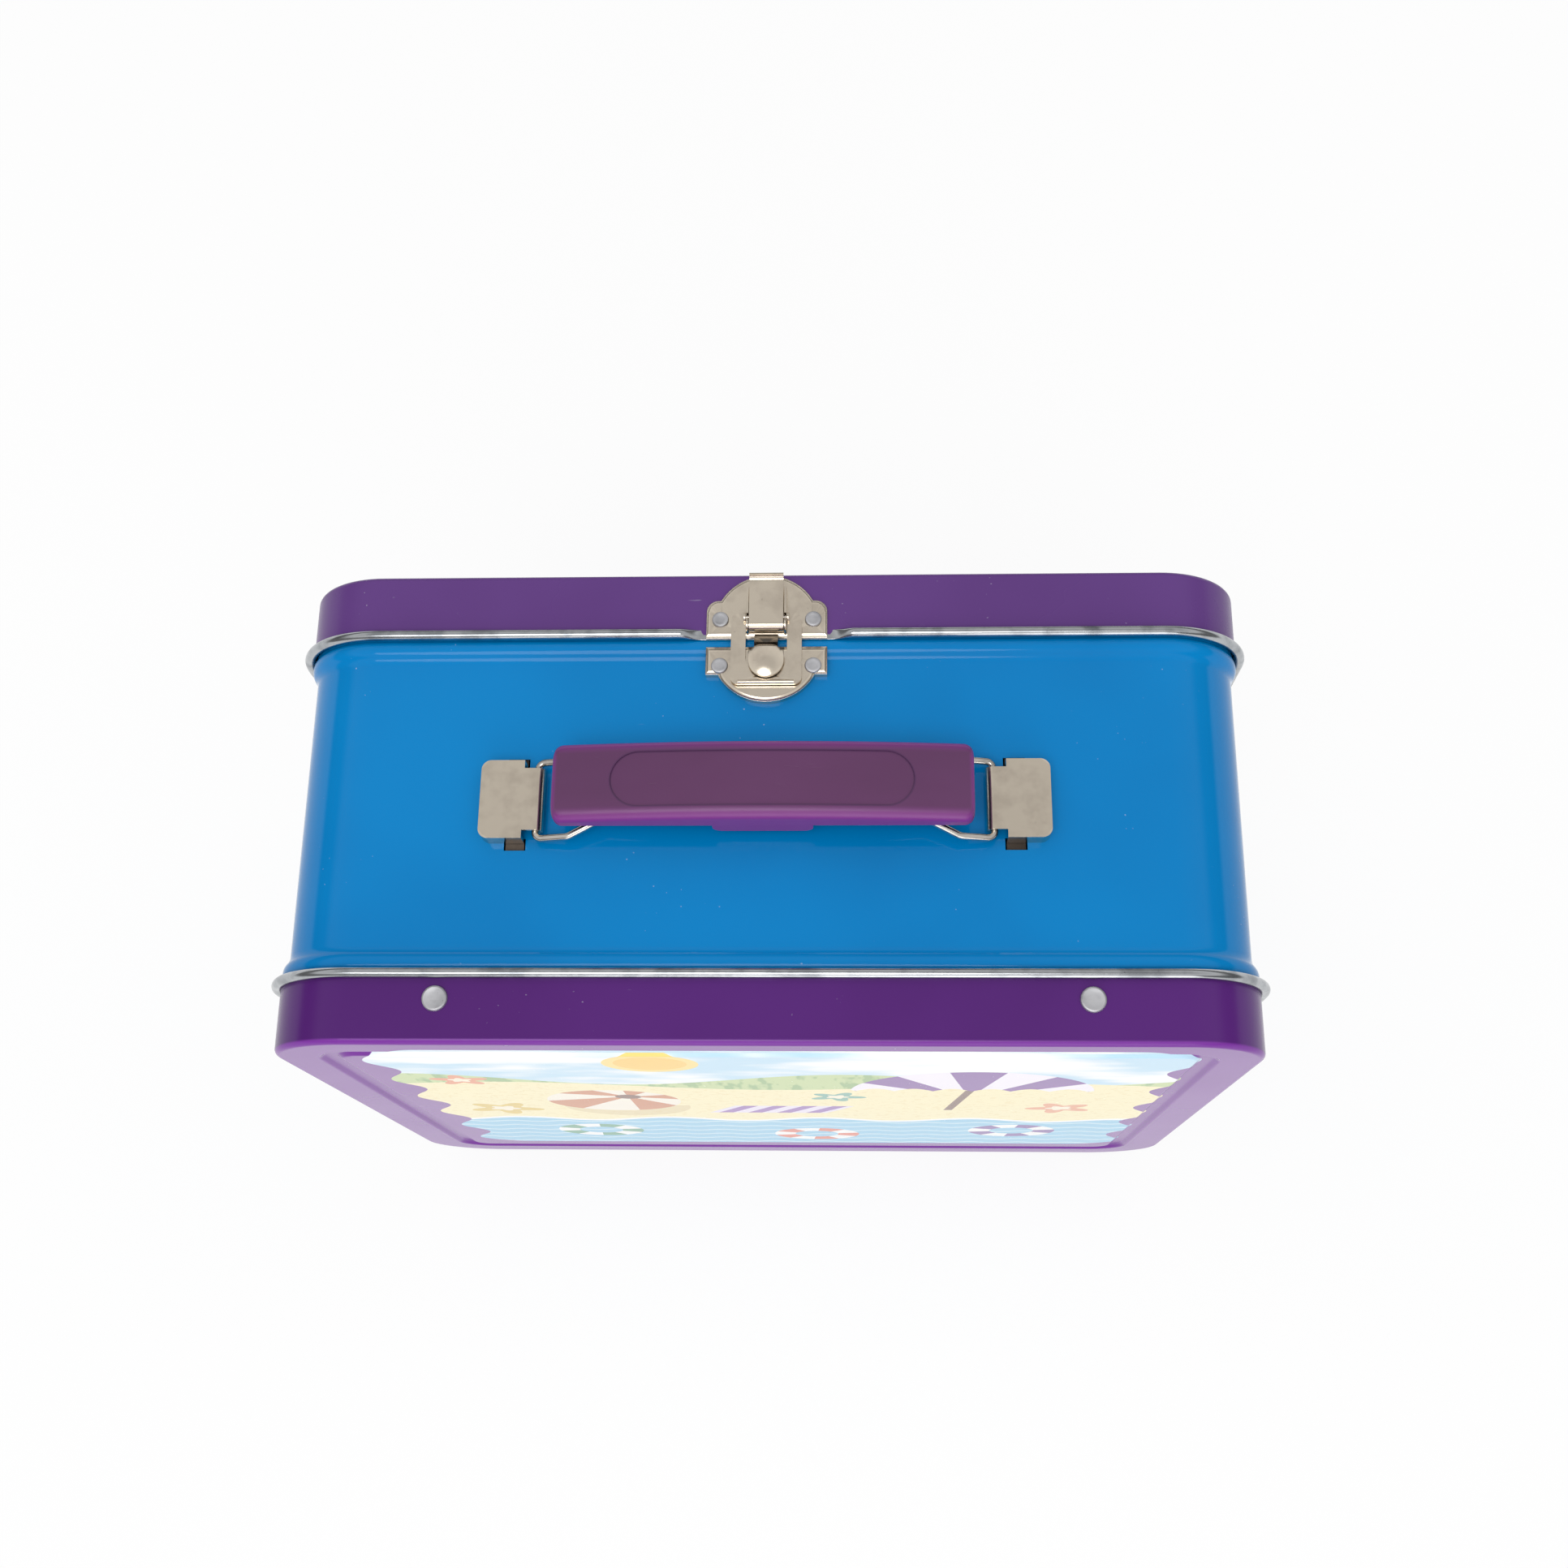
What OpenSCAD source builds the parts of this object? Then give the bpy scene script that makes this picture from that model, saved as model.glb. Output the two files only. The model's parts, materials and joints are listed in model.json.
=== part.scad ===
// Lunch-box shaped carry tin: a rounded band, a front tray fixed to it, a back lid
// hinged along the bottom edge, a toggle latch and a folding carry handle on top.
// X runs along the width, -Y is the front face, +Y is the lid, +Z is up.
// The origin is under the middle of the tin, on the plane that its two curled rims stand on.

/* [Tin body] */
// Width over the two skirts
box_w = 200; // [180:1:260]
// Height over the skirts
box_h = 168; // [140:1:220]
// Depth over the two flat faces
box_d = 100; // [94:1:140]
// Outer corner radius of the skirts
corner_r = 18; // [16:0.5:26]
// Thickness of the tinplate
tin_t = 0.3; // [0.25:0.05:0.35]
// Radius where a face turns into its skirt
face_r = 1.2; // [0.8:0.1:1.6]
// Depth of a skirt, from the face to the middle of its curled rim
skirt_d = 14; // [13.9:0.1:16]
// Outer diameter of the curled rims
curl_d = 2.2; // [2:0.1:2.6]
// Slit left where a curl closes on its skirt
curl_slit = 0.25; // [0.2:0.05:0.4]
// How far the band lies inside the skirts
band_inset = 1.3; // [1.2:0.05:1.6]
// Gap between a skirt and the neck inside it
fit_gap = 0.35; // [0.3:0.05:0.4]

/* [Stop beads and necks] */
// Length of the curve that rises from the band to a bead
bead_run = 3.5; // [3:0.1:4]
// Distance from a bead's crest to the middle of the rim
bead_back = 2.5; // [2.4:0.1:3]
// How far the crest stays inside the skirts
crest_in = 0.05; // [0.05:0.05:0.15]
// Reach of the neck inside the lid, past the rim
neck_lid = 6; // [5:0.5:7]
// Reach of the neck inside the front tray, past the rim
neck_tray = 9.5; // [8.5:0.5:11]
// Width of the cut in the lid neck under the latch
neck_notch_w = 30; // [28:1:36]
// Distance from the rim to the cut in the lid neck
neck_notch_in = 1.4; // [1.2:0.1:1.6]

/* [Pressed groove in the faces] */
// Distance from the edge to the groove
groove_in = 9; // [8:0.5:10]
// Width of the groove
groove_w = 4.5; // [3.5:0.5:5]
// Depth of the groove
groove_deep = 0.8; // [0.4:0.1:1.2]
// Width of the groove's sloping sides
groove_ramp = 1; // [0.6:0.1:1.4]

/* [Tray rivets] */
// Distance of the tray rivets from the middle
tray_rivet_x = 64.2; // [50:0.1:70]
// Distance of the tray rivets from the rim
tray_rivet_in = 5; // [4:0.5:5.5]
// Head diameter of the tray rivets
tray_head_d = 5.2; // [4:0.1:6]
// Head height of the tray rivets
tray_head_h = 0.7; // [0.4:0.1:1]
// Shank diameter of the tray rivets
tray_shank_d = 2.6; // [2:0.1:3]
// Height of a clinched rivet tail
tail_h = 0.4; // [0.3:0.05:0.5]
// How much wider a tail is than its shank
tail_more = 1.4; // [1:0.1:1.6]
// Radial gap around a rivet shank
rivet_fit = 0.05; // [0.03:0.01:0.08]

/* [Hinges] */
// Distance of each hinge from the end of the tin
hinge_in = 40; // [34:1:60]
// Length of each hinge
hinge_w = 24; // [20:1:30]
// Gap at each side of a knuckle
hinge_gap = 0.3; // [0.2:0.05:0.4]
// Diameter of the hinge pins
hinge_pin_d = 1.1; // [1:0.05:1.2]
// Radial gap around a running pin
pin_fit = 0.05; // [0.03:0.01:0.08]
// Thickness of the hinge leaves
leaf_t = 0.45; // [0.4:0.05:0.5]
// Reach of the lid leaf past the hinge pin
leaf_lid = 10; // [9.6:0.1:11]
// Reach of the body leaf past the hinge pin
leaf_body = 17; // [16:0.5:20]
// Length of the flat end of the body leaf
leaf_flat = 9.6; // [9:0.1:10]
// Length of the slope in the body leaf
leaf_ramp = 2.8; // [2.6:0.1:3]
// Distance of the lid leaf's rivets from the pin
leaf_lid_rivet = 8.4; // [8.2:0.1:8.6]
// Distance of the body leaf's rivets from the pin
leaf_body_rivet = 12.5; // [12:0.5:13.5]
// Half the spacing of the rivets in a leaf
leaf_rivet_x = 7; // [5:0.5:8]
// Head diameter of the hinge and latch rivets' smaller kind
leaf_head_d = 2.8; // [2.4:0.1:3]
// Head height of the leaf rivets
leaf_head_h = 0.5; // [0.3:0.1:0.6]
// Shank diameter of the leaf rivets
leaf_shank_d = 1.4; // [1.2:0.1:1.6]

/* [Latch plates] */
// Half the width of both latch plates
plate_half = 12.6; // [12:0.1:13.2]
// Thickness of both latch plates
plate_t = 0.6; // [0.5:0.05:0.7]
// Reach of the lid plate in front of the rim
base_front = 1.1; // [0.9:0.1:1.2]
// Reach of the lid plate's ears behind the rim
base_back = 7.5; // [6.5:0.1:8]
// Corner radius of the lid plate's ears
base_ear_r = 2.5; // [1.5:0.1:3]
// Radius of the lid plate's round back
base_dome_r = 10.95; // [10.4:0.05:11.2]
// Reach of the lid plate's round back behind the rim
base_dome = 13.2; // [12.8:0.1:13.4]
// Distance from the rim to the catch plate's near edge
catch_near = 3; // [2.9:0.1:3.4]
// Distance from the rim to the catch plate's ear ends
catch_ear = 9; // [8.6:0.1:9.5]
// Radius of the catch plate's round end
catch_dome_r = 11.46; // [11:0.02:12]
// Distance from the rim to the catch plate's round end
catch_far = 15; // [14.5:0.1:15.5]
// Distance of the latch rivets from the middle
latch_rivet_x = 9.7; // [9.6:0.05:10]
// Distance of the lid plate's rivets from the rim
base_rivet = 3.2; // [3.1:0.1:3.4]
// Distance of the catch plate's rivets from the rim
catch_rivet = 7.2; // [7.2:0.1:7.3]
// Head diameter of the latch rivets
latch_head_d = 3.5; // [3:0.1:3.6]
// Head height of the latch rivets
latch_head_h = 0.5; // [0.3:0.1:0.6]
// Shank diameter of the latch rivets
latch_shank_d = 1.6; // [1.4:0.1:1.8]
// Half the width over which the lid's rim is pressed flat
rim_flat = 13.4; // [13.3:0.1:14]
// Length of the slope from the flat stretch to the full curl
rim_ramp = 4.6; // [3.5:0.1:6]

/* [Latch lever and hoop] */
// Width of the lever
lever_w = 7.1; // [6.7:0.1:7.3]
// Radius of the lever's rolled end
lever_r = 1.4; // [1.3:0.05:1.5]
// Thickness of the lever's sheet
lever_t = 0.5; // [0.4:0.05:0.6]
// Length of the lever from its pin to its finger lip
lever_len = 9.2; // [8.6:0.1:9.6]
// Inner radius of the finger lip
lip_r = 1.2; // [1:0.1:1.3]
// Distance of the lever pin behind the rim
pin_back = 1.1; // [1:0.05:1.2]
// Height of the lever pin above the skirt
pin_up = 2.65; // [2.6:0.05:2.8]
// Diameter of the lever pin
lever_pin_d = 0.9; // [0.8:0.05:1]
// Thickness of the plate's upright ears
ear_t = 0.45; // [0.4:0.05:0.5]
// Length of the ears behind the lever pin
ear_len = 8.4; // [7.6:0.1:8.8]
// Side gap between lever, ears and hoop
side_gap = 0.15; // [0.12:0.01:0.18]
// Distance between the lever pin and the hoop pin
crank = 2; // [1.95:0.05:2.05]
// Angle of the hoop pin below the lever pin's level
crank_a = 15; // [12:1:18]
// Diameter of the hoop pin
hoop_pin_d = 0.8; // [0.7:0.05:0.85]
// Outer width of the hoop
hoop_w = 14.7; // [14.3:0.1:15.1]
// Thickness of the hoop
hoop_t = 0.6; // [0.5:0.05:0.7]
// Gap between the hoop and the plates below it
hoop_rise = 0.4; // [0.4:0.05:0.45]
// Distance from the rim to the far edge of the hoop
hoop_far = 11.65; // [11.4:0.05:11.9]
// Width of the hoop's cross bar
hoop_bar = 1.85; // [1.7:0.05:2]
// Reach of the hoop's arms behind the hoop pin
hoop_tail = 1.17; // [1:0.01:1.3]
// Radius of the lugs around the hoop pin
lug_r = 1; // [0.85:0.05:1.05]
// Radius of the turned lip on the hoop
hoop_lip_r = 0.45; // [0.3:0.05:0.5]

/* [Latch hook] */
// Width of the hook's head
hook_w = 7.4; // [7:0.1:7.6]
// Width of the hook's neck
hook_neck_w = 4.9; // [4:0.1:5.4]
// Distance from the rim to the tip of the hook
hook_tip = 10.4; // [10.3:0.05:10.5]
// Distance from the rim to the ridge between head and neck
hook_ridge = 4.7; // [4.5:0.1:4.9]
// How far the hook's neck bulges past the edge of its plate
hook_bend = 2.35; // [2.2:0.05:2.5]
// Gap between the hoop and the head above it
hook_gap = 0.5; // [0.45:0.05:0.6]
// Thickness of the middle of the hook's head
hook_rise = 1.5; // [1.4:0.05:1.7]
// Radius of the head's rounded top
hook_dome_r = 10; // [9.5:0.5:12]

/* [Handle brackets] */
// Distance from the middle to the outer end of a bracket
bracket_out = 57.4; // [56:0.1:60]
// Length of a bracket's raised plate
bracket_l = 8.8; // [8:0.1:9.6]
// Width of a bracket
bracket_w = 16.5; // [16:0.1:18]
// Height of a bracket above the band
bracket_h = 4; // [3.9:0.1:4.4]
// Thickness of the bracket sheet
bracket_t = 0.7; // [0.6:0.05:0.75]
// Outer corner radius of a bracket
bracket_r = 2; // [1.2:0.1:2.5]
// Width of the tongue that holds the wire
tongue_w = 13.1; // [12.4:0.1:13.2]
// Distance from the middle to the pivot of a wire
pivot_x = 46; // [45:0.1:46.4]
// Width of the bracket's legs
leg_w = 3.8; // [3:0.1:4.4]
// Reach of a leg's bent foot under the band
foot_reach = 3.3; // [2.6:0.1:3.6]
// Gap at each side of a leg in its slot
slot_gap = 0.3; // [0.2:0.05:0.4]
// How far a slot reaches outside its leg
slot_out = 1.5; // [1:0.1:1.8]
// Middle of the handle along the depth
handle_y = -0.7; // [-1.5:0.1:1]

/* [Handle wires] */
// Diameter of the wire
wire_d = 1.5; // [1.4:0.05:1.6]
// Radial gap around the wire in its bracket
wire_fit = 0.1; // [0.08:0.01:0.12]
// Distance from a wire's pivot to its cross bar
wire_len = 25.8; // [25:0.1:26.4]
// Angle at which the wires rest
wire_rest = 14; // [13:0.5:14.5]
// Half the width of a wire at its pivot
wire_wide = 8.05; // [8:0.05:8.2]
// Half the width of a wire at its cross bar
wire_narrow = 5; // [4.6:0.1:5]
// Bend radius at the corners of a wire
wire_bend = 1.4; // [1.2:0.05:1.45]
// Bend radius where the sides draw in
wire_sweep = 4; // [3:0.5:5]
// Angle at which the sides draw in
wire_draw = 16; // [15:1:20]
// Straight run before the sides draw in
wire_run = 2; // [1:0.1:2.4]

/* [Handle grip] */
// Length of the grip
grip_l = 83.5; // [82:0.5:85]
// Width of the grip
grip_w = 16.2; // [16.2:0.1:17]
// Height of the grip's top above the band, at the middle
grip_top = 13.4; // [13:0.1:14]
// Height of the grip's lower edge above the band
grip_low = 7.3; // [7.3:0.05:7.5]
// How much the grip's ends lie below its middle
grip_arch = 2.3; // [1.5:0.1:2.4]
// Wall thickness of the grip
grip_t = 0.9; // [0.7:0.05:0.9]
// Radius of the grip's long upper edges
grip_edge_r = 2.2; // [1.5:0.1:2.6]
// Corner radius of the grip seen from above
grip_corner_r = 2; // [1.2:0.1:2.4]
// How far the grip's middle lies behind the brackets' middle
grip_back = 1.3; // [0.9:0.1:1.3]
// Width of the tabs at the middle of the grip
tab_w = 20; // [16:1:24]
// Height of the tabs' lower edge above the band
tab_low = 3.7; // [3.2:0.1:4.5]
// Corner radius of the tabs
tab_r = 2; // [1:0.1:2.5]
// Length of the shallow recess in the grip
recess_l = 60; // [50:1:64]
// Width of the recess
recess_w = 11.3; // [10:0.1:11.6]
// Depth of the recess
recess_deep = 0.4; // [0.2:0.05:0.5]
// Half the spacing of the ribs that carry the wires
rib_y = 2; // [1.9:0.1:2.2]
// Thickness of those ribs
rib_t = 1; // [0.8:0.1:1.1]
// Distance from the middle to the near end of a rib
rib_near = 15; // [14:0.5:16]
// Distance from the middle to the far end of a rib
rib_far = 36; // [35:0.5:37]
// Height of a rib's lower edge above the band
rib_low = 6.2; // [6:0.1:6.3]
// Free play of a cross bar below and above its rest height
slot_play_low = 0.7; // [0.65:0.05:0.8]
slot_play_high = 0.8; // [0.75:0.05:0.9]
// Free play of a cross bar along its slot
slot_play_end = 1.2; // [0.8:0.1:1.6]
// Largest lift angle of the wires
lift_a = 40; // [30:1:40]

/* [Hidden] */
$fn = 48;
small_fn = 32;
eps = 0.01;
neck_lap_a = 5;                            // how far a bead's curve runs on into its neck
wire_sides = 16;
wire_steps = 8;                            // steps in a right-angled bend of the wire

rim_y = box_d / 2 - skirt_d;               // plane of the rims' middle
curl_n = curl_d / 2 - tin_t;               // rim middle, outward from the skirt
curl_out = curl_n + curl_d / 2;            // how far a rim stands out
mid_z = curl_out + box_h / 2;              // middle of the rounded section
skirt_z = mid_z + box_h / 2;               // top of the skirts
band_z = skirt_z - band_inset;             // top of the band
low_z = mid_z - box_h / 2;                 // bottom of the skirts
neck_n = -tin_t - fit_gap;                 // outside of the necks

crest_y = rim_y - bead_back;
bead_y = crest_y - bead_run;               // where the flat band ends
bead_h = band_inset - crest_in;
bead_r = (bead_run * bead_run + bead_h * bead_h) / (4 * bead_h);
bead_a = asin(bead_run / 2 / bead_r);
neck_a = acos((neck_n + crest_in + bead_r) / bead_r);
neck_y = crest_y + (bead_r - tin_t) * sin(neck_a) - tin_t / 2;

hinge_x = box_w / 2 - hinge_in;
hinge_z = low_z - curl_n;
knuckle_r = hinge_pin_d / 2 + pin_fit + leaf_t;
knuckle_l = (hinge_w - 2 * hinge_gap) / 3;
leaf_clear = knuckle_r + hinge_gap;

pin_y = rim_y + pin_back;
pin_z = skirt_z + pin_up;
hoop_pin_y = pin_y + crank * cos(crank_a);
hoop_pin_z = pin_z - crank * sin(crank_a);
plate_z = skirt_z + plate_t;
hoop_z = plate_z + hoop_rise;
ear_x = lever_w / 2 + side_gap;
arm_x = ear_x + ear_t + side_gap;
head_z = hoop_z + hoop_t + hook_gap;

bracket_in = bracket_out - bracket_l;
pivot_r = wire_d / 2 + wire_fit;
pivot_z = band_z + bracket_h - bracket_t - pivot_r;
leg_y = bracket_w / 2 - bracket_t;

bar_x = pivot_x - wire_len * cos(wire_rest);
bar_z = pivot_z + wire_len * sin(wire_rest);
bar_far_x = pivot_x - wire_len * cos(wire_rest + lift_a);
grip_y = handle_y + grip_back;
grip_arch_r = (grip_l * grip_l / 4 + grip_arch * grip_arch) / (2 * grip_arch);
grip_deep = grip_top - tab_low + grip_arch + 1;

wire_in = wire_wide - wire_narrow;
draw_l = (wire_in - 2 * wire_sweep * (1 - cos(wire_draw))) / sin(wire_draw);
last_l = wire_len - 2 * wire_bend - wire_run - 2 * wire_sweep * sin(wire_draw) - draw_l * cos(wire_draw);

// ---------- shared shapes ----------

// A part of a ring between two angles.
module arc_strip(inner, outer, from_a, to_a) {
    intersection() {
        difference() {
            circle(outer);
            circle(inner);
        }
        polygon(concat([[0, 0]], [for (i = [0:4]) let (a = from_a + (to_a - from_a) * i / 4)
            2 * outer * [cos(a), sin(a)]]));
    }
}

// A rectangle from -w/2 to w/2 and -h/2 to h/2 with round corners.
module round_rect(w, h, r) {
    square([w - 2 * r, h], center = true);
    square([w, h - 2 * r], center = true);
    for (x = [-1, 1], y = [-1, 1]) translate([x * (w / 2 - r), y * (h / 2 - r)]) circle(r);
}

// Stands a section, drawn in x and y, up at the front (its z then runs towards -Y).
module at_front() {
    translate([0, 0, mid_z]) rotate([90, 0, 0]) children();
}

module at_back() {
    mirror([0, 1, 0]) at_front() children();
}

// Runs a profile round the rounded section: x is outward from the skirts, y is the depth.
module around() {
    for (q = [0:3]) rotate(90 * q) {
        a = q % 2 == 0 ? box_w : box_h;
        b = q % 2 == 0 ? box_h : box_w;
        translate([a / 2, b / 2 - corner_r, 0]) rotate([90, 0, 0])
            linear_extrude(b - 2 * corner_r) children();
        translate([a / 2 - corner_r, b / 2 - corner_r, 0])
            rotate_extrude(angle = 90) translate([corner_r, 0]) children();
    }
}

// A rivet through a stack of sheets: its head sits on z = 0 and its shank runs down.
module rivet(head_d, head_h, shank_d, stack) {
    cylinder(h = head_h * 0.6, d = head_d, $fn = small_fn);
    translate([0, 0, head_h * 0.6]) cylinder(h = head_h * 0.4, d1 = head_d, d2 = head_d - head_h, $fn = small_fn);
    translate([0, 0, -stack]) cylinder(h = stack, d = shank_d, $fn = small_fn);
    translate([0, 0, -stack - tail_h]) cylinder(h = tail_h, d = shank_d + tail_more, $fn = small_fn);
}

// The hole for such a rivet, from z = -deep to z = high.
module rivet_hole(shank_d, deep, high = 1) {
    translate([0, 0, -deep]) cylinder(h = deep + high, d = shank_d + 2 * rivet_fit, $fn = small_fn);
}

// Extrudes a shape drawn in (Y, Z) along X, from x0 to x1.
module along_x(x0, x1) {
    translate([x0, 0, 0]) rotate([90, 0, 90]) linear_extrude(x1 - x0) children();
}

// ---------- places ----------

module tray_rivet_places() {
    for (x = [-1, 1], up = [1, -1])
        translate([x * tray_rivet_x, -rim_y - tray_rivet_in, mid_z + up * box_h / 2])
            rotate([up > 0 ? 0 : 180, 0, 0]) children();
}

module leaf_rivet_places(y, z, xs = [-1, 1]) {
    for (side = xs, s = [-1, 1]) translate([side * hinge_x + s * leaf_rivet_x, y, z])
        rotate([180, 0, 0]) children();
}

module latch_rivet_places(y) {
    for (s = [-1, 1]) translate([s * latch_rivet_x, y, plate_z]) children();
}

// ---------- tin body ----------

module bead_profile(reach) {
    translate([bead_r - band_inset, bead_y]) arc_strip(bead_r, bead_r + tin_t, 180 - bead_a, 180);
    translate([-crest_in - bead_r, crest_y]) arc_strip(bead_r - tin_t, bead_r, -bead_a, neck_a + neck_lap_a);
    translate([neck_n - tin_t, neck_y]) square([tin_t, rim_y + reach - neck_y]);
}

module band_profile() {
    translate([-band_inset - tin_t, -bead_y]) square([tin_t, 2 * bead_y]);
    bead_profile(neck_tray);
    mirror([0, 1]) bead_profile(neck_lid);
}

module leg_slots() {
    for (s = [-1, 1], t = [-1, 1]) {
        x0 = bracket_in - slot_gap;
        y0 = leg_y - slot_gap;
        translate([s > 0 ? x0 : -x0 - leg_w - 2 * slot_gap,
                handle_y + (t > 0 ? y0 : -y0 - bracket_t - slot_gap - slot_out),
                band_z - 2 * tin_t])
            cube([leg_w + 2 * slot_gap, bracket_t + slot_gap + slot_out, 3 * tin_t]);
    }
}

module band_shell() {
    color([0, 0.48, 0.72]) difference() {
        at_front() around() band_profile();
        translate([-neck_notch_w / 2, rim_y + neck_notch_in, mid_z])
            cube([neck_notch_w, neck_lid, box_h / 2]);
        leg_slots();
        tray_rivet_places() rivet_hole(tray_shank_d, 2 * tray_head_d);
        latch_rivet_places(rim_y - catch_rivet) rivet_hole(latch_shank_d, 2 * latch_head_d);
        leaf_rivet_places(rim_y - leaf_body_rivet, low_z) rivet_hole(leaf_shank_d, 2 * leaf_head_d);
    }
}

// A tongue inside the sheet whose inner side is at x, so that what meets at y is one piece.
module seam(x, y) {
    translate([x + tin_t / 4, y - tin_t / 2]) square([tin_t / 2, tin_t]);
}

module face_profile() {
    a = -groove_in;
    b = -groove_in - groove_w;
    y1 = box_d / 2;
    y2 = y1 - groove_deep;
    g = groove_ramp;
    translate([-tin_t, rim_y]) square([tin_t, y1 - face_r - rim_y]);
    seam(-tin_t, rim_y);
    translate([-face_r, y1 - face_r]) arc_strip(face_r - tin_t, face_r, 0, 90);
    polygon([[-face_r, y1], [a, y1], [a - g, y2], [b + g, y2], [b, y1], [b - tin_t, y1],
        [b - tin_t, y1 - tin_t], [b, y1 - tin_t], [b + g, y2 - tin_t], [a - g, y2 - tin_t],
        [a, y1 - tin_t], [-face_r, y1 - tin_t]]);
}

// Half the shell: pressed face and skirt, without the rim.
module pan() {
    around() face_profile();
    inset = groove_in + groove_w;
    translate([0, 0, box_d / 2 - tin_t]) linear_extrude(tin_t)
        round_rect(box_w - 2 * inset, box_h - 2 * inset, corner_r - inset);
}

module curl() {
    end_a = acos((curl_n - curl_slit) / (curl_d / 2));
    around() translate([curl_n, rim_y]) arc_strip(curl_d / 2 - tin_t, curl_d / 2, 180, 540 - end_a);
}

module front_tray() {
    color([0.36, 0.18, 0.48]) difference() {
        at_front() {
            pan();
            curl();
        }
        tray_rivet_places() rivet_hole(tray_shank_d, tray_head_d);
    }
}

module tray_rivets() {
    stack = -neck_n + tin_t;
    color([0.75, 0.74, 0.73]) tray_rivet_places() rivet(tray_head_d, tray_head_h, tray_shank_d, stack);
}

// The rim runs flat under the latch plate and swells back to a full curl at both sides.
module flat_rim() {
    translate([-rim_flat - eps / 2, rim_y - base_front, skirt_z - tin_t])
        cube([2 * rim_flat + eps, base_front + tin_t, tin_t]);
    for (s = [0, 1]) mirror([s, 0, 0]) hull() {
        translate([rim_flat, rim_y - base_front, skirt_z - tin_t]) cube([eps, 2 * base_front, tin_t]);
        translate([rim_flat + rim_ramp, rim_y, skirt_z + curl_n]) rotate([0, 90, 0])
            cylinder(h = 2 * eps, d = curl_d, $fn = small_fn);
    }
}

module back_lid() {
    flat_l = rim_flat + rim_ramp;
    color([0.4, 0.28, 0.44]) difference() {
        union() {
            at_back() pan();
            difference() {
                at_back() curl();
                translate([-flat_l, rim_y - curl_d, skirt_z - curl_d])
                    cube([2 * flat_l, 2 * curl_d, 3 * curl_d]);
            }
            flat_rim();
        }
        for (s = [-1, 1]) translate([s * hinge_x - hinge_w / 2 - hinge_gap, rim_y - curl_d, -curl_d])
            cube([hinge_w + 2 * hinge_gap, curl_d + leaf_clear, 2.5 * curl_d]);
        latch_rivet_places(rim_y + base_rivet) rivet_hole(latch_shank_d, latch_head_d);
        leaf_rivet_places(rim_y + leaf_lid_rivet, low_z) rivet_hole(leaf_shank_d, leaf_head_d);
    }
}

// ---------- hinges ----------

module knuckles(outer) {
    for (k = [-1:1]) if ((k != 0) == outer)
        translate([k * (knuckle_l + hinge_gap) - knuckle_l / 2, rim_y, hinge_z]) rotate([0, 90, 0])
            cylinder(h = knuckle_l, r = knuckle_r, $fn = small_fn);
}

module hinge_bore() {
    translate([-hinge_w, rim_y, hinge_z]) rotate([0, 90, 0])
        cylinder(h = 2 * hinge_w, r = hinge_pin_d / 2 + pin_fit, $fn = small_fn);
}

module leaf_body() {
    y0 = rim_y - leaf_body;
    y1 = y0 + leaf_flat;
    y2 = y1 + leaf_ramp;
    z0 = low_z + band_inset;
    color([0.72, 0.7, 0.68]) difference() {
        union() {
            difference() {
                along_x(-hinge_w / 2, hinge_w / 2) polygon([[y0, z0], [y1, z0], [y2, low_z],
                    [rim_y, low_z], [rim_y, low_z - leaf_t], [y2 - leaf_t / 2, low_z - leaf_t],
                    [y1 - leaf_t / 2, z0 - leaf_t], [y0, z0 - leaf_t]]);
                translate([-knuckle_l / 2 - hinge_gap, rim_y - leaf_clear, low_z - curl_d])
                    cube([knuckle_l + 2 * hinge_gap, 2 * leaf_clear, 2 * curl_d]);
            }
            knuckles(true);
        }
        hinge_bore();
        for (s = [-1, 1]) translate([s * leaf_rivet_x, rim_y - leaf_body_rivet, z0]) rotate([180, 0, 0])
            rivet_hole(leaf_shank_d, leaf_head_d);
    }
}

module leaf_lid() {
    color([0.72, 0.7, 0.68]) difference() {
        union() {
            difference() {
                translate([-hinge_w / 2, rim_y, low_z - leaf_t]) cube([hinge_w, leaf_lid, leaf_t]);
                for (s = [0, 1]) mirror([s, 0, 0])
                    translate([knuckle_l / 2, rim_y - leaf_clear, low_z - curl_d])
                        cube([hinge_w, 2 * leaf_clear, 2 * curl_d]);
            }
            knuckles(false);
        }
        hinge_bore();
        for (s = [-1, 1]) translate([s * leaf_rivet_x, rim_y + leaf_lid_rivet, low_z]) rotate([180, 0, 0])
            rivet_hole(leaf_shank_d, leaf_head_d);
    }
}

module hinge_pin() {
    color([0.6, 0.6, 0.6]) translate([-hinge_w / 2, rim_y, hinge_z]) rotate([0, 90, 0])
        cylinder(h = hinge_w, d = hinge_pin_d, $fn = small_fn);
}

module hinge_body_rivets() {
    color([0.75, 0.74, 0.73])
        leaf_rivet_places(rim_y - leaf_body_rivet, low_z + band_inset - leaf_t)
            rivet(leaf_head_d, leaf_head_h, leaf_shank_d, leaf_t + tin_t);
}

module hinge_lid_rivets() {
    color([0.75, 0.74, 0.73])
        leaf_rivet_places(rim_y + leaf_lid_rivet, low_z - leaf_t)
            rivet(leaf_head_d, leaf_head_h, leaf_shank_d, leaf_t + tin_t);
}

// ---------- latch ----------

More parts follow.
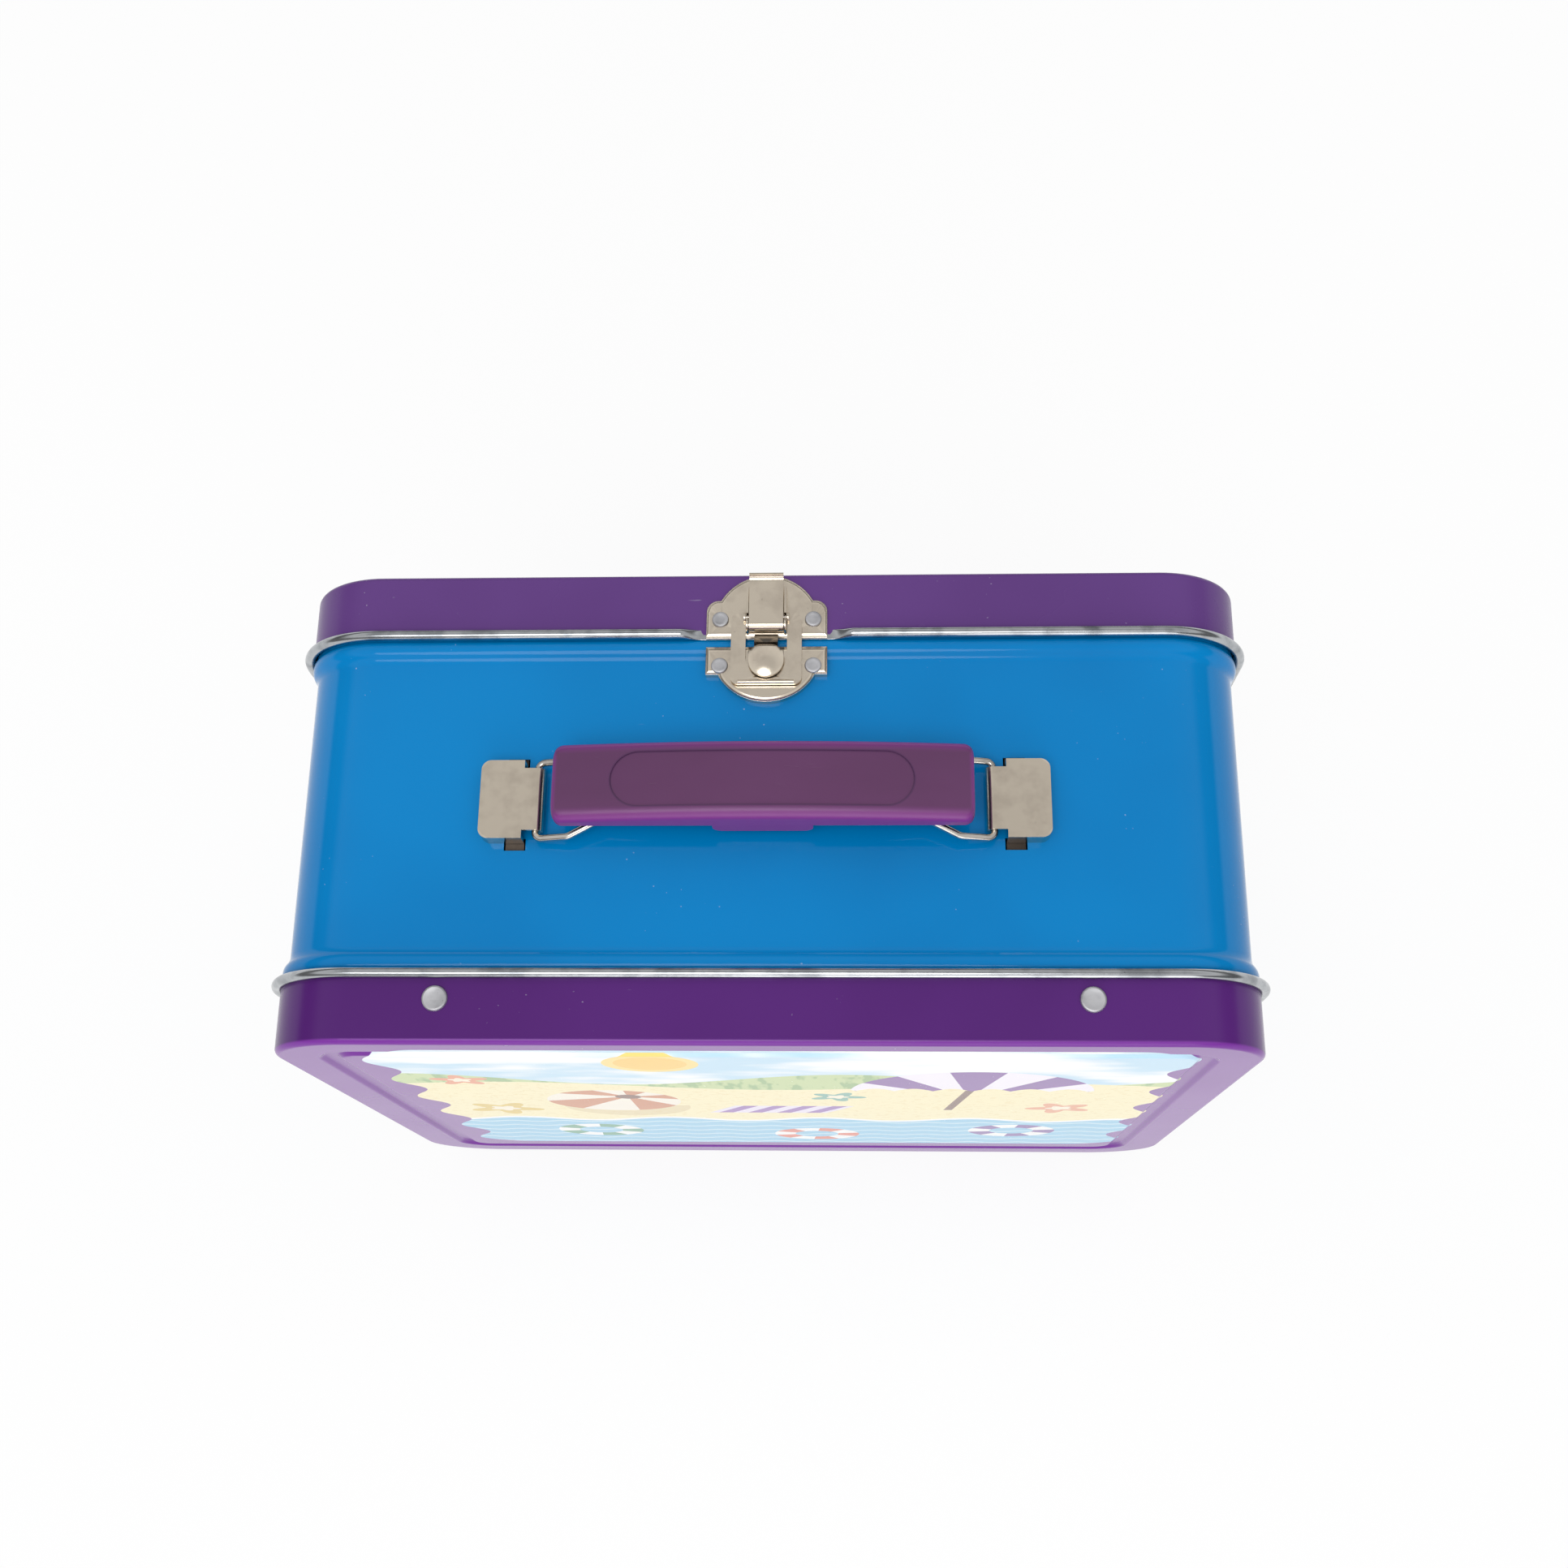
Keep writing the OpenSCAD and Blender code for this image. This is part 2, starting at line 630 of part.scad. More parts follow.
module catch_outline(inset = 0) {
    dome_r = catch_dome_r - inset;
    dome_y = rim_y - catch_far + catch_dome_r;
    ear_y = rim_y - catch_ear + inset;
    near_y = rim_y - catch_near;
    half = plate_half - inset;
    translate([-half, ear_y]) square([2 * half, near_y - ear_y]);
    intersection() {
        translate([0, dome_y]) circle(dome_r);
        translate([-half, rim_y - catch_far]) square([2 * half, catch_far - catch_near]);
    }
}

module hook() {
    tip_y = rim_y - hook_tip;
    ridge_y = rim_y - hook_ridge;
    near_y = rim_y - catch_near;
    top_z = head_z + hook_rise;
    head_r = hook_w / 2;
    intersection() {
        translate([0, 0, head_z]) linear_extrude(hook_rise) {
            translate([0, tip_y + head_r]) circle(head_r);
            translate([-head_r, tip_y + head_r]) square([hook_w, ridge_y - tip_y - head_r]);
        }
        translate([0, ridge_y - hook_rise, top_z - hook_dome_r]) sphere(hook_dome_r, $fn = 96);
    }
    along_x(-hook_neck_w / 2, hook_neck_w / 2) polygon([[ridge_y + plate_t / 3, plate_z - plate_t / 2],
        [near_y - eps, plate_z - plate_t / 2], [near_y - eps, plate_z],
        [near_y + 0.7 * hook_bend, plate_z + 0.9 * plate_t],
        [near_y + 0.98 * hook_bend, plate_z + 1.4 * plate_t],
        [near_y + hook_bend, head_z - plate_t / 2], [near_y + 0.8 * hook_bend, head_z + plate_t / 6],
        [ridge_y, head_z + 0.67 * hook_rise], [ridge_y - 0.7 * plate_t, head_z + 0.6 * hook_rise],
        [ridge_y - 0.7 * plate_t, head_z + plate_t / 12], [ridge_y + plate_t / 3, head_z + plate_t / 12]]);
}

module latch_catch_plate() {
    flange_y = min(bead_y, rim_y - catch_near);
    color([0.79, 0.75, 0.7]) difference() {
        union() {
            difference() {
                translate([0, 0, band_z]) linear_extrude(band_inset + plate_t) catch_outline();
                translate([0, 0, band_z - plate_t]) linear_extrude(band_inset + plate_t)
                    catch_outline(plate_t);
                translate([-2 * plate_half, flange_y, band_z - plate_t])
                    cube([4 * plate_half, catch_far, band_inset + plate_t]);
            }
            for (s = [-1, 1]) translate([s * latch_rivet_x, rim_y - catch_rivet, band_z])
                cylinder(h = band_inset + plate_t / 2, d = latch_head_d, $fn = small_fn);
            hook();
        }
        latch_rivet_places(rim_y - catch_rivet) rivet_hole(latch_shank_d, 2 * latch_head_d);
    }
}

module catch_rivets() {
    color([0.7, 0.7, 0.7]) latch_rivet_places(rim_y - catch_rivet)
        rivet(latch_head_d, latch_head_h, latch_shank_d, plate_t + band_inset + tin_t);
}

module base_outline() {
    front_y = rim_y - base_front;
    back_y = rim_y + base_back;
    translate([-plate_half, front_y]) square([2 * plate_half, back_y - base_ear_r - front_y]);
    translate([-plate_half + base_ear_r, front_y]) square([2 * (plate_half - base_ear_r), back_y - front_y]);
    for (s = [-1, 1]) translate([s * (plate_half - base_ear_r), back_y - base_ear_r]) circle(base_ear_r);
    intersection() {
        translate([0, rim_y + base_dome - base_dome_r]) circle(base_dome_r);
        translate([-plate_half, front_y]) square([2 * plate_half, base_dome + base_front]);
    }
}

// Upright ear beside the lever, with a curved slot that lets the hoop pin swing.
module ear_outline() {
    top_z = pin_z + lever_r / 2;
    slot_in = crank - hoop_pin_d / 2 - side_gap;
    slot_far = crank + hoop_pin_d / 2 + side_gap;
    difference() {
        union() {
            polygon([[pin_y - lever_r, plate_z - eps], [pin_y + ear_len + 0.8, plate_z - eps],
                [pin_y + ear_len, top_z], [pin_y, top_z], [pin_y - lever_r, pin_z]]);
            translate([pin_y, pin_z]) circle(lever_r, $fn = small_fn);
        }
        translate([pin_y, pin_z]) arc_strip(slot_in, slot_far, -crank_a - 20, 130);
        translate([pin_y, pin_z]) circle(lever_pin_d / 2 + pin_fit, $fn = small_fn);
    }
}

module latch_base_plate() {
    color([0.79, 0.75, 0.7]) difference() {
        union() {
            translate([0, 0, skirt_z]) linear_extrude(plate_t) base_outline();
            for (s = [0, 1]) mirror([s, 0, 0]) along_x(ear_x, ear_x + ear_t) ear_outline();
        }
        latch_rivet_places(rim_y + base_rivet) rivet_hole(latch_shank_d, latch_head_d);
    }
}

module latch_base_rivets() {
    color([0.7, 0.7, 0.7]) latch_rivet_places(rim_y + base_rivet)
        rivet(latch_head_d, latch_head_h, latch_shank_d, plate_t + tin_t);
}

module latch_lever_pin() {
    half = ear_x + ear_t;
    color([0.6, 0.6, 0.6]) translate([-half, pin_y, pin_z]) rotate([0, 90, 0])
        cylinder(h = 2 * half, d = lever_pin_d, $fn = small_fn);
}

module latch_lever() {
    half = lever_w / 2;
    top_z = pin_z + lever_r;
    end_y = pin_y + lever_len;
    wall = hoop_pin_d / 2 + lever_t;
    color([0.8, 0.77, 0.71]) difference() {
        union() {
            along_x(-half, half) {
                translate([pin_y, pin_z]) circle(lever_r, $fn = small_fn);
                translate([pin_y, top_z - lever_t]) square([lever_len, lever_t]);
                translate([end_y, top_z + lip_r])
                    arc_strip(lip_r, lip_r + lever_t, -90, -15);
            }
            for (s = [0, 1]) mirror([s, 0, 0]) along_x(half - lever_t, half)
                polygon([[pin_y, hoop_pin_z - wall], [hoop_pin_y + wall, hoop_pin_z - wall],
                    [end_y - lever_t, pin_z], [end_y - lever_t, top_z - lever_t / 2],
                    [pin_y, top_z - lever_t / 2]]);
        }
        translate([-lever_w, pin_y, pin_z]) rotate([0, 90, 0])
            cylinder(h = 2 * lever_w, d = lever_pin_d + 2 * pin_fit, $fn = small_fn);
        translate([-lever_w, hoop_pin_y, hoop_pin_z]) rotate([0, 90, 0])
            cylinder(h = 2 * lever_w, d = hoop_pin_d + 2 * pin_fit, $fn = small_fn);
    }
}

module latch_hoop_pin() {
    half = arm_x + ear_t;
    color([0.6, 0.6, 0.6]) translate([-half, hoop_pin_y, hoop_pin_z]) rotate([0, 90, 0])
        cylinder(h = 2 * half, d = hoop_pin_d, $fn = small_fn);
}

module latch_hoop() {
    far_y = rim_y - hoop_far;
    tail_y = hoop_pin_y + hoop_tail;
    corner = hoop_w / 2 - arm_x - 1.5;
    color([0.8, 0.77, 0.74]) difference() {
        union() {
            translate([0, 0, hoop_z]) linear_extrude(hoop_t) difference() {
                translate([0, (far_y + tail_y) / 2]) round_rect(hoop_w, tail_y - far_y, corner);
                translate([0, far_y + hoop_bar + arm_x]) circle(arm_x);
                translate([-arm_x, far_y + hoop_bar + arm_x]) square([2 * arm_x, tail_y]);
            }
            translate([-hoop_w / 2 + corner, far_y + hoop_lip_r, hoop_z + hoop_t]) rotate([0, 90, 0])
                cylinder(h = hoop_w - 2 * corner, r = hoop_lip_r, $fn = small_fn);
            for (s = [0, 1]) mirror([s, 0, 0]) along_x(arm_x, arm_x + ear_t) {
                translate([hoop_pin_y, hoop_pin_z]) circle(lug_r, $fn = small_fn);
                translate([hoop_pin_y - lug_r, hoop_z]) square([2 * lug_r, hoop_pin_z - hoop_z]);
            }
        }
        translate([-hoop_w, hoop_pin_y, hoop_pin_z]) rotate([0, 90, 0])
            cylinder(h = 2 * hoop_w, d = hoop_pin_d + 2 * pin_fit, $fn = small_fn);
    }
}

// ---------- handle ----------

module bracket() {
    t = bracket_t;
    half = bracket_w / 2;
    top = bracket_h;
    color([0.8, 0.78, 0.72]) translate([0, handle_y, band_z]) {
        difference() {
            translate([bracket_in, -half, 0]) bracket_block(bracket_l, bracket_w, bracket_r, top);
            translate([bracket_in - 1, -half + t, -1])
                bracket_block(bracket_l - t + 1, bracket_w - 2 * t, bracket_r - t, top - t + 1);
        }
        rotate([90, 0, 0]) linear_extrude(tongue_w, center = true) {
            translate([pivot_x, top - t]) square([bracket_in - pivot_x + t, t]);
            translate([pivot_x, pivot_z - band_z]) arc_strip(pivot_r, pivot_r + t, 90, 290);
        }
        for (s = [0, 1]) mirror([0, s, 0]) {
            translate([bracket_in, leg_y, -tin_t - t]) cube([leg_w, t, tin_t + t]);
            translate([bracket_in, leg_y, -tin_t - t]) cube([leg_w, t + foot_reach, t]);
        }
    }
}

// A block whose two outer corners are round.
module bracket_block(l, w, r, h) {
    linear_extrude(h) {
        square([l - r, w]);
        translate([0, r]) square([l, w - 2 * r]);
        for (y = [r, w - r]) translate([l - r, y]) circle(r, $fn = small_fn);
    }
}

// Stations [x, y, heading] along a flat path: [length] is a straight run, [radius, angle] is a
// bend, to the left when the angle is positive.
function stations(path, i = 0, p = [0, 0], h = 90) =
    i == len(path) ? [[p[0], p[1], h]] :
    let (s = path[i]) len(s) == 1 ?
        concat([[p[0], p[1], h]], stations(path, i + 1, p + s[0] * [cos(h), sin(h)], h)) :
        let (side = sign(s[1]), c = p + s[0] * side * [-sin(h), cos(h)],
            n = max(2, round(wire_steps * abs(s[1]) / 90)),
            at = function (t) c - s[0] * side * [-sin(h + t * s[1]), cos(h + t * s[1])])
        concat([for (k = [0:n - 1]) [at(k / n)[0], at(k / n)[1], h + k / n * s[1]]],
            stations(path, i + 1, at(1), h + s[1]));

// Sweeps a round wire of radius r along such a path.
module sweep(path, start, r) {
    st = stations(path, 0, start);
    n = wire_sides;
    last = len(st) - 1;
    points = [for (q = st, j = [0:n - 1]) let (t = 360 * (j + 0.5) / n)
        [q[0] - sin(q[2]) * r * cos(t), q[1] + cos(q[2]) * r * cos(t), r * sin(t)]];
    sides = [for (i = [0:last - 1], j = [0:n - 1]) let (k = (j + 1) % n)
        [(i + 1) * n + j, (i + 1) * n + k, i * n + k, i * n + j]];
    polyhedron(points, concat(sides, [[for (j = [0:n - 1]) j], [for (j = [n - 1:-1:0]) last * n + j]]));
}

// One wire: a true round pivot, and a bow that runs from its ends to the cross bar and back.
module bail() {
    side = [[wire_run], [wire_sweep, wire_draw], [draw_l], [wire_sweep, -wire_draw], [last_l]];
    back = [for (i = [len(side) - 1:-1:0]) side[i]];
    pivot_half = wire_wide - wire_bend;
    path = concat([[wire_bend, 90]], side,
        [[wire_bend, 90], [2 * (wire_narrow - wire_bend)], [wire_bend, 90]], back, [[wire_bend, 90]]);
    color([0.8, 0.79, 0.77]) translate([pivot_x, handle_y, pivot_z]) rotate([0, wire_rest, 0]) {
        translate([0, -pivot_half, 0]) rotate([-90, 0, 0])
            cylinder(h = 2 * pivot_half, d = wire_d, $fn = small_fn);
        sweep(path, [0, pivot_half], wire_d / 2 - eps / 2);
    }
}

// The grip's cross section: x is up from the top surface, y is across.
module grip_section(half, deep, r) {
    translate([-deep, -half]) square([deep - r, 2 * half]);
    translate([-deep, -half + r]) square([deep, 2 * (half - r)]);
    for (s = [-1, 1]) translate([-r, s * (half - r)]) circle(r, $fn = small_fn);
}

// Bends a cross section along the grip's arch, with its top "down" below the grip's top.
module arched(down) {
    span = asin(grip_l / 2 / grip_arch_r) + 1;
    radius = grip_arch_r - down;
    translate([0, grip_y, band_z + grip_top - grip_arch_r]) rotate([90, 0, 0]) rotate(90 - span)
        rotate_extrude(angle = 2 * span, $fn = 360) translate([radius, 0]) children();
}

// A block with the grip's rounded plan, from one height above the band to another.
module grip_plan(inset, low, high) {
    translate([0, grip_y, band_z + low]) linear_extrude(high - low)
        round_rect(grip_l - 2 * inset, grip_w - 2 * inset, grip_corner_r - inset);
}

// The rounded tab under the middle of a long wall, drawn from its tip into the wall.
module grip_tab() {
    translate([-tab_w / 2, tab_low + tab_r]) square([tab_w, grip_low + grip_t - tab_low - tab_r]);
    translate([-tab_w / 2 + tab_r, tab_low]) square([tab_w - 2 * tab_r, grip_low - tab_low]);
    for (t = [-1, 1]) translate([t * (tab_w / 2 - tab_r), tab_low + tab_r])
        circle(tab_r, $fn = small_fn);
}

module handle_grip() {
    half = grip_w / 2;
    color([0.52, 0.26, 0.52]) union() {
        difference() {
            intersection() {
                arched(0) grip_section(half, grip_deep, grip_edge_r);
                grip_plan(0, grip_low, grip_top + 1);
            }
            intersection() {
                arched(grip_t) grip_section(half - grip_t, grip_deep, grip_edge_r - grip_t);
                grip_plan(grip_t, grip_low - 1, grip_top);
            }
            intersection() {
                arched(-1) grip_section(half, 1 + recess_deep, grip_edge_r / 4);
                translate([0, grip_y, band_z]) linear_extrude(2 * grip_top)
                    round_rect(recess_l, recess_w, recess_w / 2 - eps);
            }
        }
        for (s = [-1, 1]) translate([0, grip_y + s * (half - grip_t / 2), band_z]) rotate([90, 0, 0])
            linear_extrude(grip_t - 2 * eps, center = true) grip_tab();
        for (s = [0, 1], t = [-1, 1]) mirror([s, 0, 0]) difference() {
            intersection() {
                translate([rib_near, grip_y + t * rib_y - rib_t / 2, band_z + rib_low])
                    cube([rib_far - rib_near, rib_t, grip_top]);
                arched(grip_t / 2) grip_section(half - grip_t / 2, grip_deep, grip_edge_r / 2);
            }
            translate([bar_x - wire_d / 2 - slot_play_end, grip_y + t * rib_y - rib_t,
                    bar_z - wire_d / 2 - slot_play_low])
                cube([bar_far_x - bar_x + wire_d + 2 * slot_play_end, 2 * rib_t,
                    wire_d + slot_play_low + slot_play_high]);
        }
    }
}

// ---------- nodes ----------

band_shell();
front_tray();
tray_rivets();
latch_catch_plate();
catch_rivets();
mirror([1, 0, 0]) bracket();  // handle_bracket_left
bracket();  // handle_bracket_right
translate([-hinge_x, 0, 0]) leaf_body();  // hinge_leaf_body_left
translate([hinge_x, 0, 0]) leaf_body();  // hinge_leaf_body_right
hinge_body_rivets();
translate([-hinge_x, 0, 0]) hinge_pin();  // hinge_pin_left
translate([hinge_x, 0, 0]) hinge_pin();  // hinge_pin_right
back_lid();
translate([-hinge_x, 0, 0]) leaf_lid();  // hinge_leaf_lid_left
translate([hinge_x, 0, 0]) leaf_lid();  // hinge_leaf_lid_right
hinge_lid_rivets();
latch_base_plate();
latch_base_rivets();
latch_lever_pin();
latch_lever();
latch_hoop_pin();
latch_hoop();
mirror([1, 0, 0]) bail();  // handle_wire_left
bail();  // handle_wire_right
handle_grip();
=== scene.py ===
# %% [markdown]
# # A little carry tin, dressed for the studio
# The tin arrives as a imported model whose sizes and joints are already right. This notebook
# gives it its looks: lacquered sheet, rolled bare rims, nickel fittings, a moulded grip and a
# printed front. Every place below is in metres in the model's own axes: X runs along the
# width, -Y is the printed front, +Z is up, and the two rims stand on Z = 0.

import json
import math

import bmesh
import bpy
import numpy as np
from mathutils import Matrix, Vector

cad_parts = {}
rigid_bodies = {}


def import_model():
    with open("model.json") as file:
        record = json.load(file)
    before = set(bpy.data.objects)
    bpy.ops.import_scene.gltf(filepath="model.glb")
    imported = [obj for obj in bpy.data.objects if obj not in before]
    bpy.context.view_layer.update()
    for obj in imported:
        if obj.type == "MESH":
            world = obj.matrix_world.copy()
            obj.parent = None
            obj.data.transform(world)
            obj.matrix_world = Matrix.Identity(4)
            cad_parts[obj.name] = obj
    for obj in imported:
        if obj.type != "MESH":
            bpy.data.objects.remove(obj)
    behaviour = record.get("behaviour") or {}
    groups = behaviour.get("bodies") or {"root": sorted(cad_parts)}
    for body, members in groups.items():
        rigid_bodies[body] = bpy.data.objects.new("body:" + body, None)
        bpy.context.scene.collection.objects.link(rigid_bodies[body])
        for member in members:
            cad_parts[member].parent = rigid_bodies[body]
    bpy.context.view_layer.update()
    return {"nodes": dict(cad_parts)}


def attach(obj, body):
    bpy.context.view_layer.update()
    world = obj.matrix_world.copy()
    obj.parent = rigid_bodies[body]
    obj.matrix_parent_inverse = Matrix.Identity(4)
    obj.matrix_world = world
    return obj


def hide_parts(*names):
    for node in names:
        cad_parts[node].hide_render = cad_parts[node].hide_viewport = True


for thing in list(bpy.data.objects):
    bpy.data.objects.remove(thing)
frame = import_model()
mm = 0.001

# %% [markdown]
# ## A small language for finishes
# A finish is a material whose colour, gloss and relief are worked out by nodes. Wiring nodes by
# hand is slow to read, so a `Field` wraps a socket and lets sums, products and comparisons be
# written as plain expressions. `Finish.node` makes any other node: its settings first, then the
# values or links of its sockets. Colours are given as a designer picks them and are turned into
# the linear values that a shader adds up.

# %% Colours and fields
def tint(red, green, blue):
    """A colour from its 0 to 255 screen values, as linear light."""
    parts = [c / 255 for c in (red, green, blue)]
    return tuple(c / 12.92 if c <= 0.04045 else ((c + 0.055) / 1.055) ** 2.4 for c in parts) + (1.0,)


def named(sockets, key):
    """A socket by its number, its name or its identifier."""
    if isinstance(key, int):
        return sockets[key]
    return next(s for s in sockets if key in (s.identifier, s.name))


class Field:
    """A number or colour that varies over a surface."""

    def __init__(self, finish, socket):
        self.finish, self.socket = finish, socket

    def math(self, operation, *others):
        return self.finish.node("Math", {"operation": operation}, dict(enumerate([self, *others])))

    def __add__(self, other):
        return self.math("ADD", other)

    def __sub__(self, other):
        return self.math("SUBTRACT", other)

    def __rsub__(self, other):
        return self.finish.node("Math", {"operation": "SUBTRACT"}, {0: other, 1: self})

    def __mul__(self, other):
        return self.math("MULTIPLY", other)

    def __truediv__(self, other):
        return self.math("DIVIDE", other)

    def __pow__(self, other):
        return self.math("POWER", other)

    def __abs__(self):
        return self.math("ABSOLUTE")

    __radd__, __rmul__ = __add__, __mul__

    def step(self, low, high):
        """0 below low and 1 above high, with a soft rise between them."""
        settings = {"interpolation_type": "SMOOTHSTEP", "clamp": True}
        return self.finish.node("MapRange", settings, {0: self, 1: low, 2: high})

    def fade(self, low, high):
        """1 below low and 0 above high."""
        return 1 - self.step(low, high)


class Finish:
    """A procedural material, built up on one Principled shader."""

    def __init__(self, name, **fixed):
        self.material = bpy.data.materials.new(name)
        self.material.use_nodes = True
        self.nodes, self.links = self.material.node_tree.nodes, self.material.node_tree.links
        self.shader = self.nodes["Principled BSDF"]
        self.set(**fixed)
        self.place = self.node("TexCoord", output="Object")
        spot = self.node("SeparateXYZ", {}, {0: self.place}).socket.node
        self.x, self.y, self.z = (Field(self, out) * 1000 for out in spot.outputs)

    def node(self, kind, settings=None, sockets=None, output=0):
        made = self.nodes.new("ShaderNode" + kind)
        for key, value in (settings or {}).items():
            setattr(made, key, value)
        for key, value in (sockets or {}).items():
            socket = named(made.inputs, key)
            if isinstance(value, Field):
                self.links.new(value.socket, socket)
            else:
                socket.default_value = value
        return Field(self, named(made.outputs, output))

    def noise(self, lump, detail=2.0, stretch=(1, 1, 1)):
        """Cloudy noise from 0 to 1 whose lumps are about so many millimetres across."""
        where = self.place
        if stretch != (1, 1, 1):
            where = self.node("VectorMath", {"operation": "MULTIPLY"}, {0: self.place, 1: stretch})
        return self.node("TexNoise", {}, {"Vector": where, "Scale": 1000 / lump, "Detail": detail})

    def mix(self, mask, a, b):
        """Colour a where the mask is 0, and colour b where it is 1."""
        sockets = {"Factor_Float": mask, "A_Color": a, "B_Color": b}
        return self.node("Mix", {"data_type": "RGBA"}, sockets, "Result_Color")

    def set(self, **values):
        for name, value in values.items():
            socket = self.shader.inputs[name.replace("_", " ")]
            if isinstance(value, Field):
                self.links.new(value.socket, socket)
            else:
                socket.default_value = value

    def relief(self, height, depth):
        """Lifts the surface by a height from 0 to 1 times a depth in millimetres."""
        sockets = {"Strength": 1.0, "Distance": depth * mm, "Height": height}
        self.set(Normal=self.node("Bump", {}, sockets))


print("finishes are written as expressions on fields")

# %% [markdown]
# ## The lacquers
# The sheet is printed and varnished before it is pressed, so its gloss is even, with the very
# slight orange peel of stoved lacquer and the odd speck or hairline. The blue wrap is the
# glossiest part. Roughness varies a little, because handled tin always has duller patches.

# %% Lacquered sheet
def lacquer(name, colour, deep, gloss, shine, peel=0.004, printed=None):
    f = Finish(name, IOR=1.45, Specular_IOR_Level=shine)
    cloud = f.noise(60, 3)
    speck = f.noise(0.7, 0).step(0.83, 0.87) * f.noise(18, 1).step(0.56, 0.64)
    hairline = f.noise(1.2, 4, (0.12, 1.0, 0.5)).step(0.72, 0.78) * f.noise(24, 2).step(0.58, 0.68)
    body = f.mix(cloud.step(0.35, 0.7), colour, deep)
    if printed:
        body = printed(f, body)
    f.set(Base_Color=f.mix((speck + hairline) * 0.25, body, tint(225, 225, 235)),
          Roughness=gloss + 0.06 * f.noise(22, 3) + 0.18 * hairline + 0.2 * speck)
    f.relief(0.5 * f.noise(2.4, 2) + 0.5 * f.noise(9, 1) - 0.4 * hairline, peel)
    return f


wrap_blue = lacquer("wrap_blue_lacquer", tint(0, 128, 196), tint(0, 121, 188), 0.06, 0.24)
lid_purple = lacquer("lid_purple_lacquer", tint(98, 62, 130), tint(92, 56, 122), 0.24, 0.22)
print("lacquers:", wrap_blue.material.name, "and", lid_purple.material.name)

# %% [markdown]
# ## Bare tinplate, nickel and dull rivets
# The rims are the sheet's own bare edge, rolled over, so they are bright tin with darker
# streaks where the roller bruised it. The fittings are stamped steel under warm nickel: fine
# rolling lines under the plating, and cloudy haze. Rivets are soft aluminium, pressed flat and
# left dull. All of them are metals, so the colour is the reflection's colour. The stamped plates
# of the latch also roll over at their outlines: a distance to the outline, worked out from
# straight lines and arcs, lowers the surface there.

# %% Distances that round a stamping's edges
def span(x, z):
    """The length of a flat vector."""
    return (x * x + z * z) ** 0.5


def rounded_edge(outside, width):
    """How far a pressed edge has dropped, from its distance to the outline (negative inside)."""
    near = ((outside + width) / width).math("MAXIMUM", 0.0).math("MINIMUM", 1.2)
    return near * near * width


def on_plate_top(f):
    """1 on the plates' top faces, and 0 on everything that hangs below them."""
    return f.z.step(170.1, 170.3)


def catch_edge(f):
    """The catch plate: two square ears beside a dome, and a straight back."""
    half_width, ear_middle, ear_half, dome_middle, dome_radius, back = 12.6, 30, 3, 32.46, 11.46, 33
    ears = (abs(f.x) - half_width).math("MAXIMUM", abs(f.y - ear_middle) - ear_half)
    dome = span(f.x, f.y - dome_middle) - dome_radius
    outline = ears.math("MINIMUM", dome).math("MAXIMUM", f.y - back)
    return rounded_edge(outline, 1.0) * on_plate_top(f)


def base_edge(f):
    """The base plate: two round-cornered ears beside a dome, and a front rolled wider."""
    half_width, ear_end, corner, dome_middle, dome_radius, front = 12.6, 43.5, 2.5, 38.25, 10.95, 34.9
    across = (abs(f.x) - (half_width - corner)).math("MAXIMUM", 0.0)
    along = (f.y - (ear_end - corner)).math("MAXIMUM", 0.0)
    ears = span(across, along) - corner
    dome = span(f.x, f.y - dome_middle) - dome_radius
    sides = rounded_edge(ears.math("MINIMUM", dome), 0.7)
    return rounded_edge(front - f.y, 1.5).math("MAXIMUM", sides) * on_plate_top(f)


# %% Bare and plated metals
def plated(name, bright, worn, gloss, grain=(0.08, 1, 1), haze=0.14, bruise=0.0, deep=0.003,
           painted_shade=None, rolled=None):
    f = Finish(name, Metallic=1.0)
    lines = f.noise(0.5, 3, grain)
    cloud = f.noise(5, 3)
    pit = f.noise(0.7, 1).step(0.74, 0.8) * f.noise(5, 1).step(0.5, 0.6)
    streak = f.noise(2.2, 4, (0.35, 1, 0.6)).step(0.56, 0.72) * bruise
    shown = f.mix(cloud.step(0.42, 0.72) * 0.6 + 0.5 * pit + streak, bright, worn)
    # Painted shade: where the mask is 1, the colour goes to a dark brown-grey.
    if painted_shade:
        shown = f.mix(painted_shade(f), shown, tint(58, 54, 52))
    f.set(Base_Color=shown, Roughness=gloss + haze * cloud + 0.08 * lines + 0.2 * streak)
    fine = (0.6 * lines + 0.4 * cloud - 0.8 * pit) * deep
    f.relief(fine - 0.5 * rolled(f) if rolled else fine, 1.0)
    return f


def bracket_feet_painted_shade(f):
    """Painted shade on the feet that go down through the wrap, out of the light."""
    return f.z.fade(168.35, 168.6)


def hook_neck_painted_shade(f):
    """Painted shade on the hook's narrow neck, where the lever shades it."""
    return f.y.step(32.0, 32.6) * abs(f.x).fade(3.6, 3.9) * 0.85


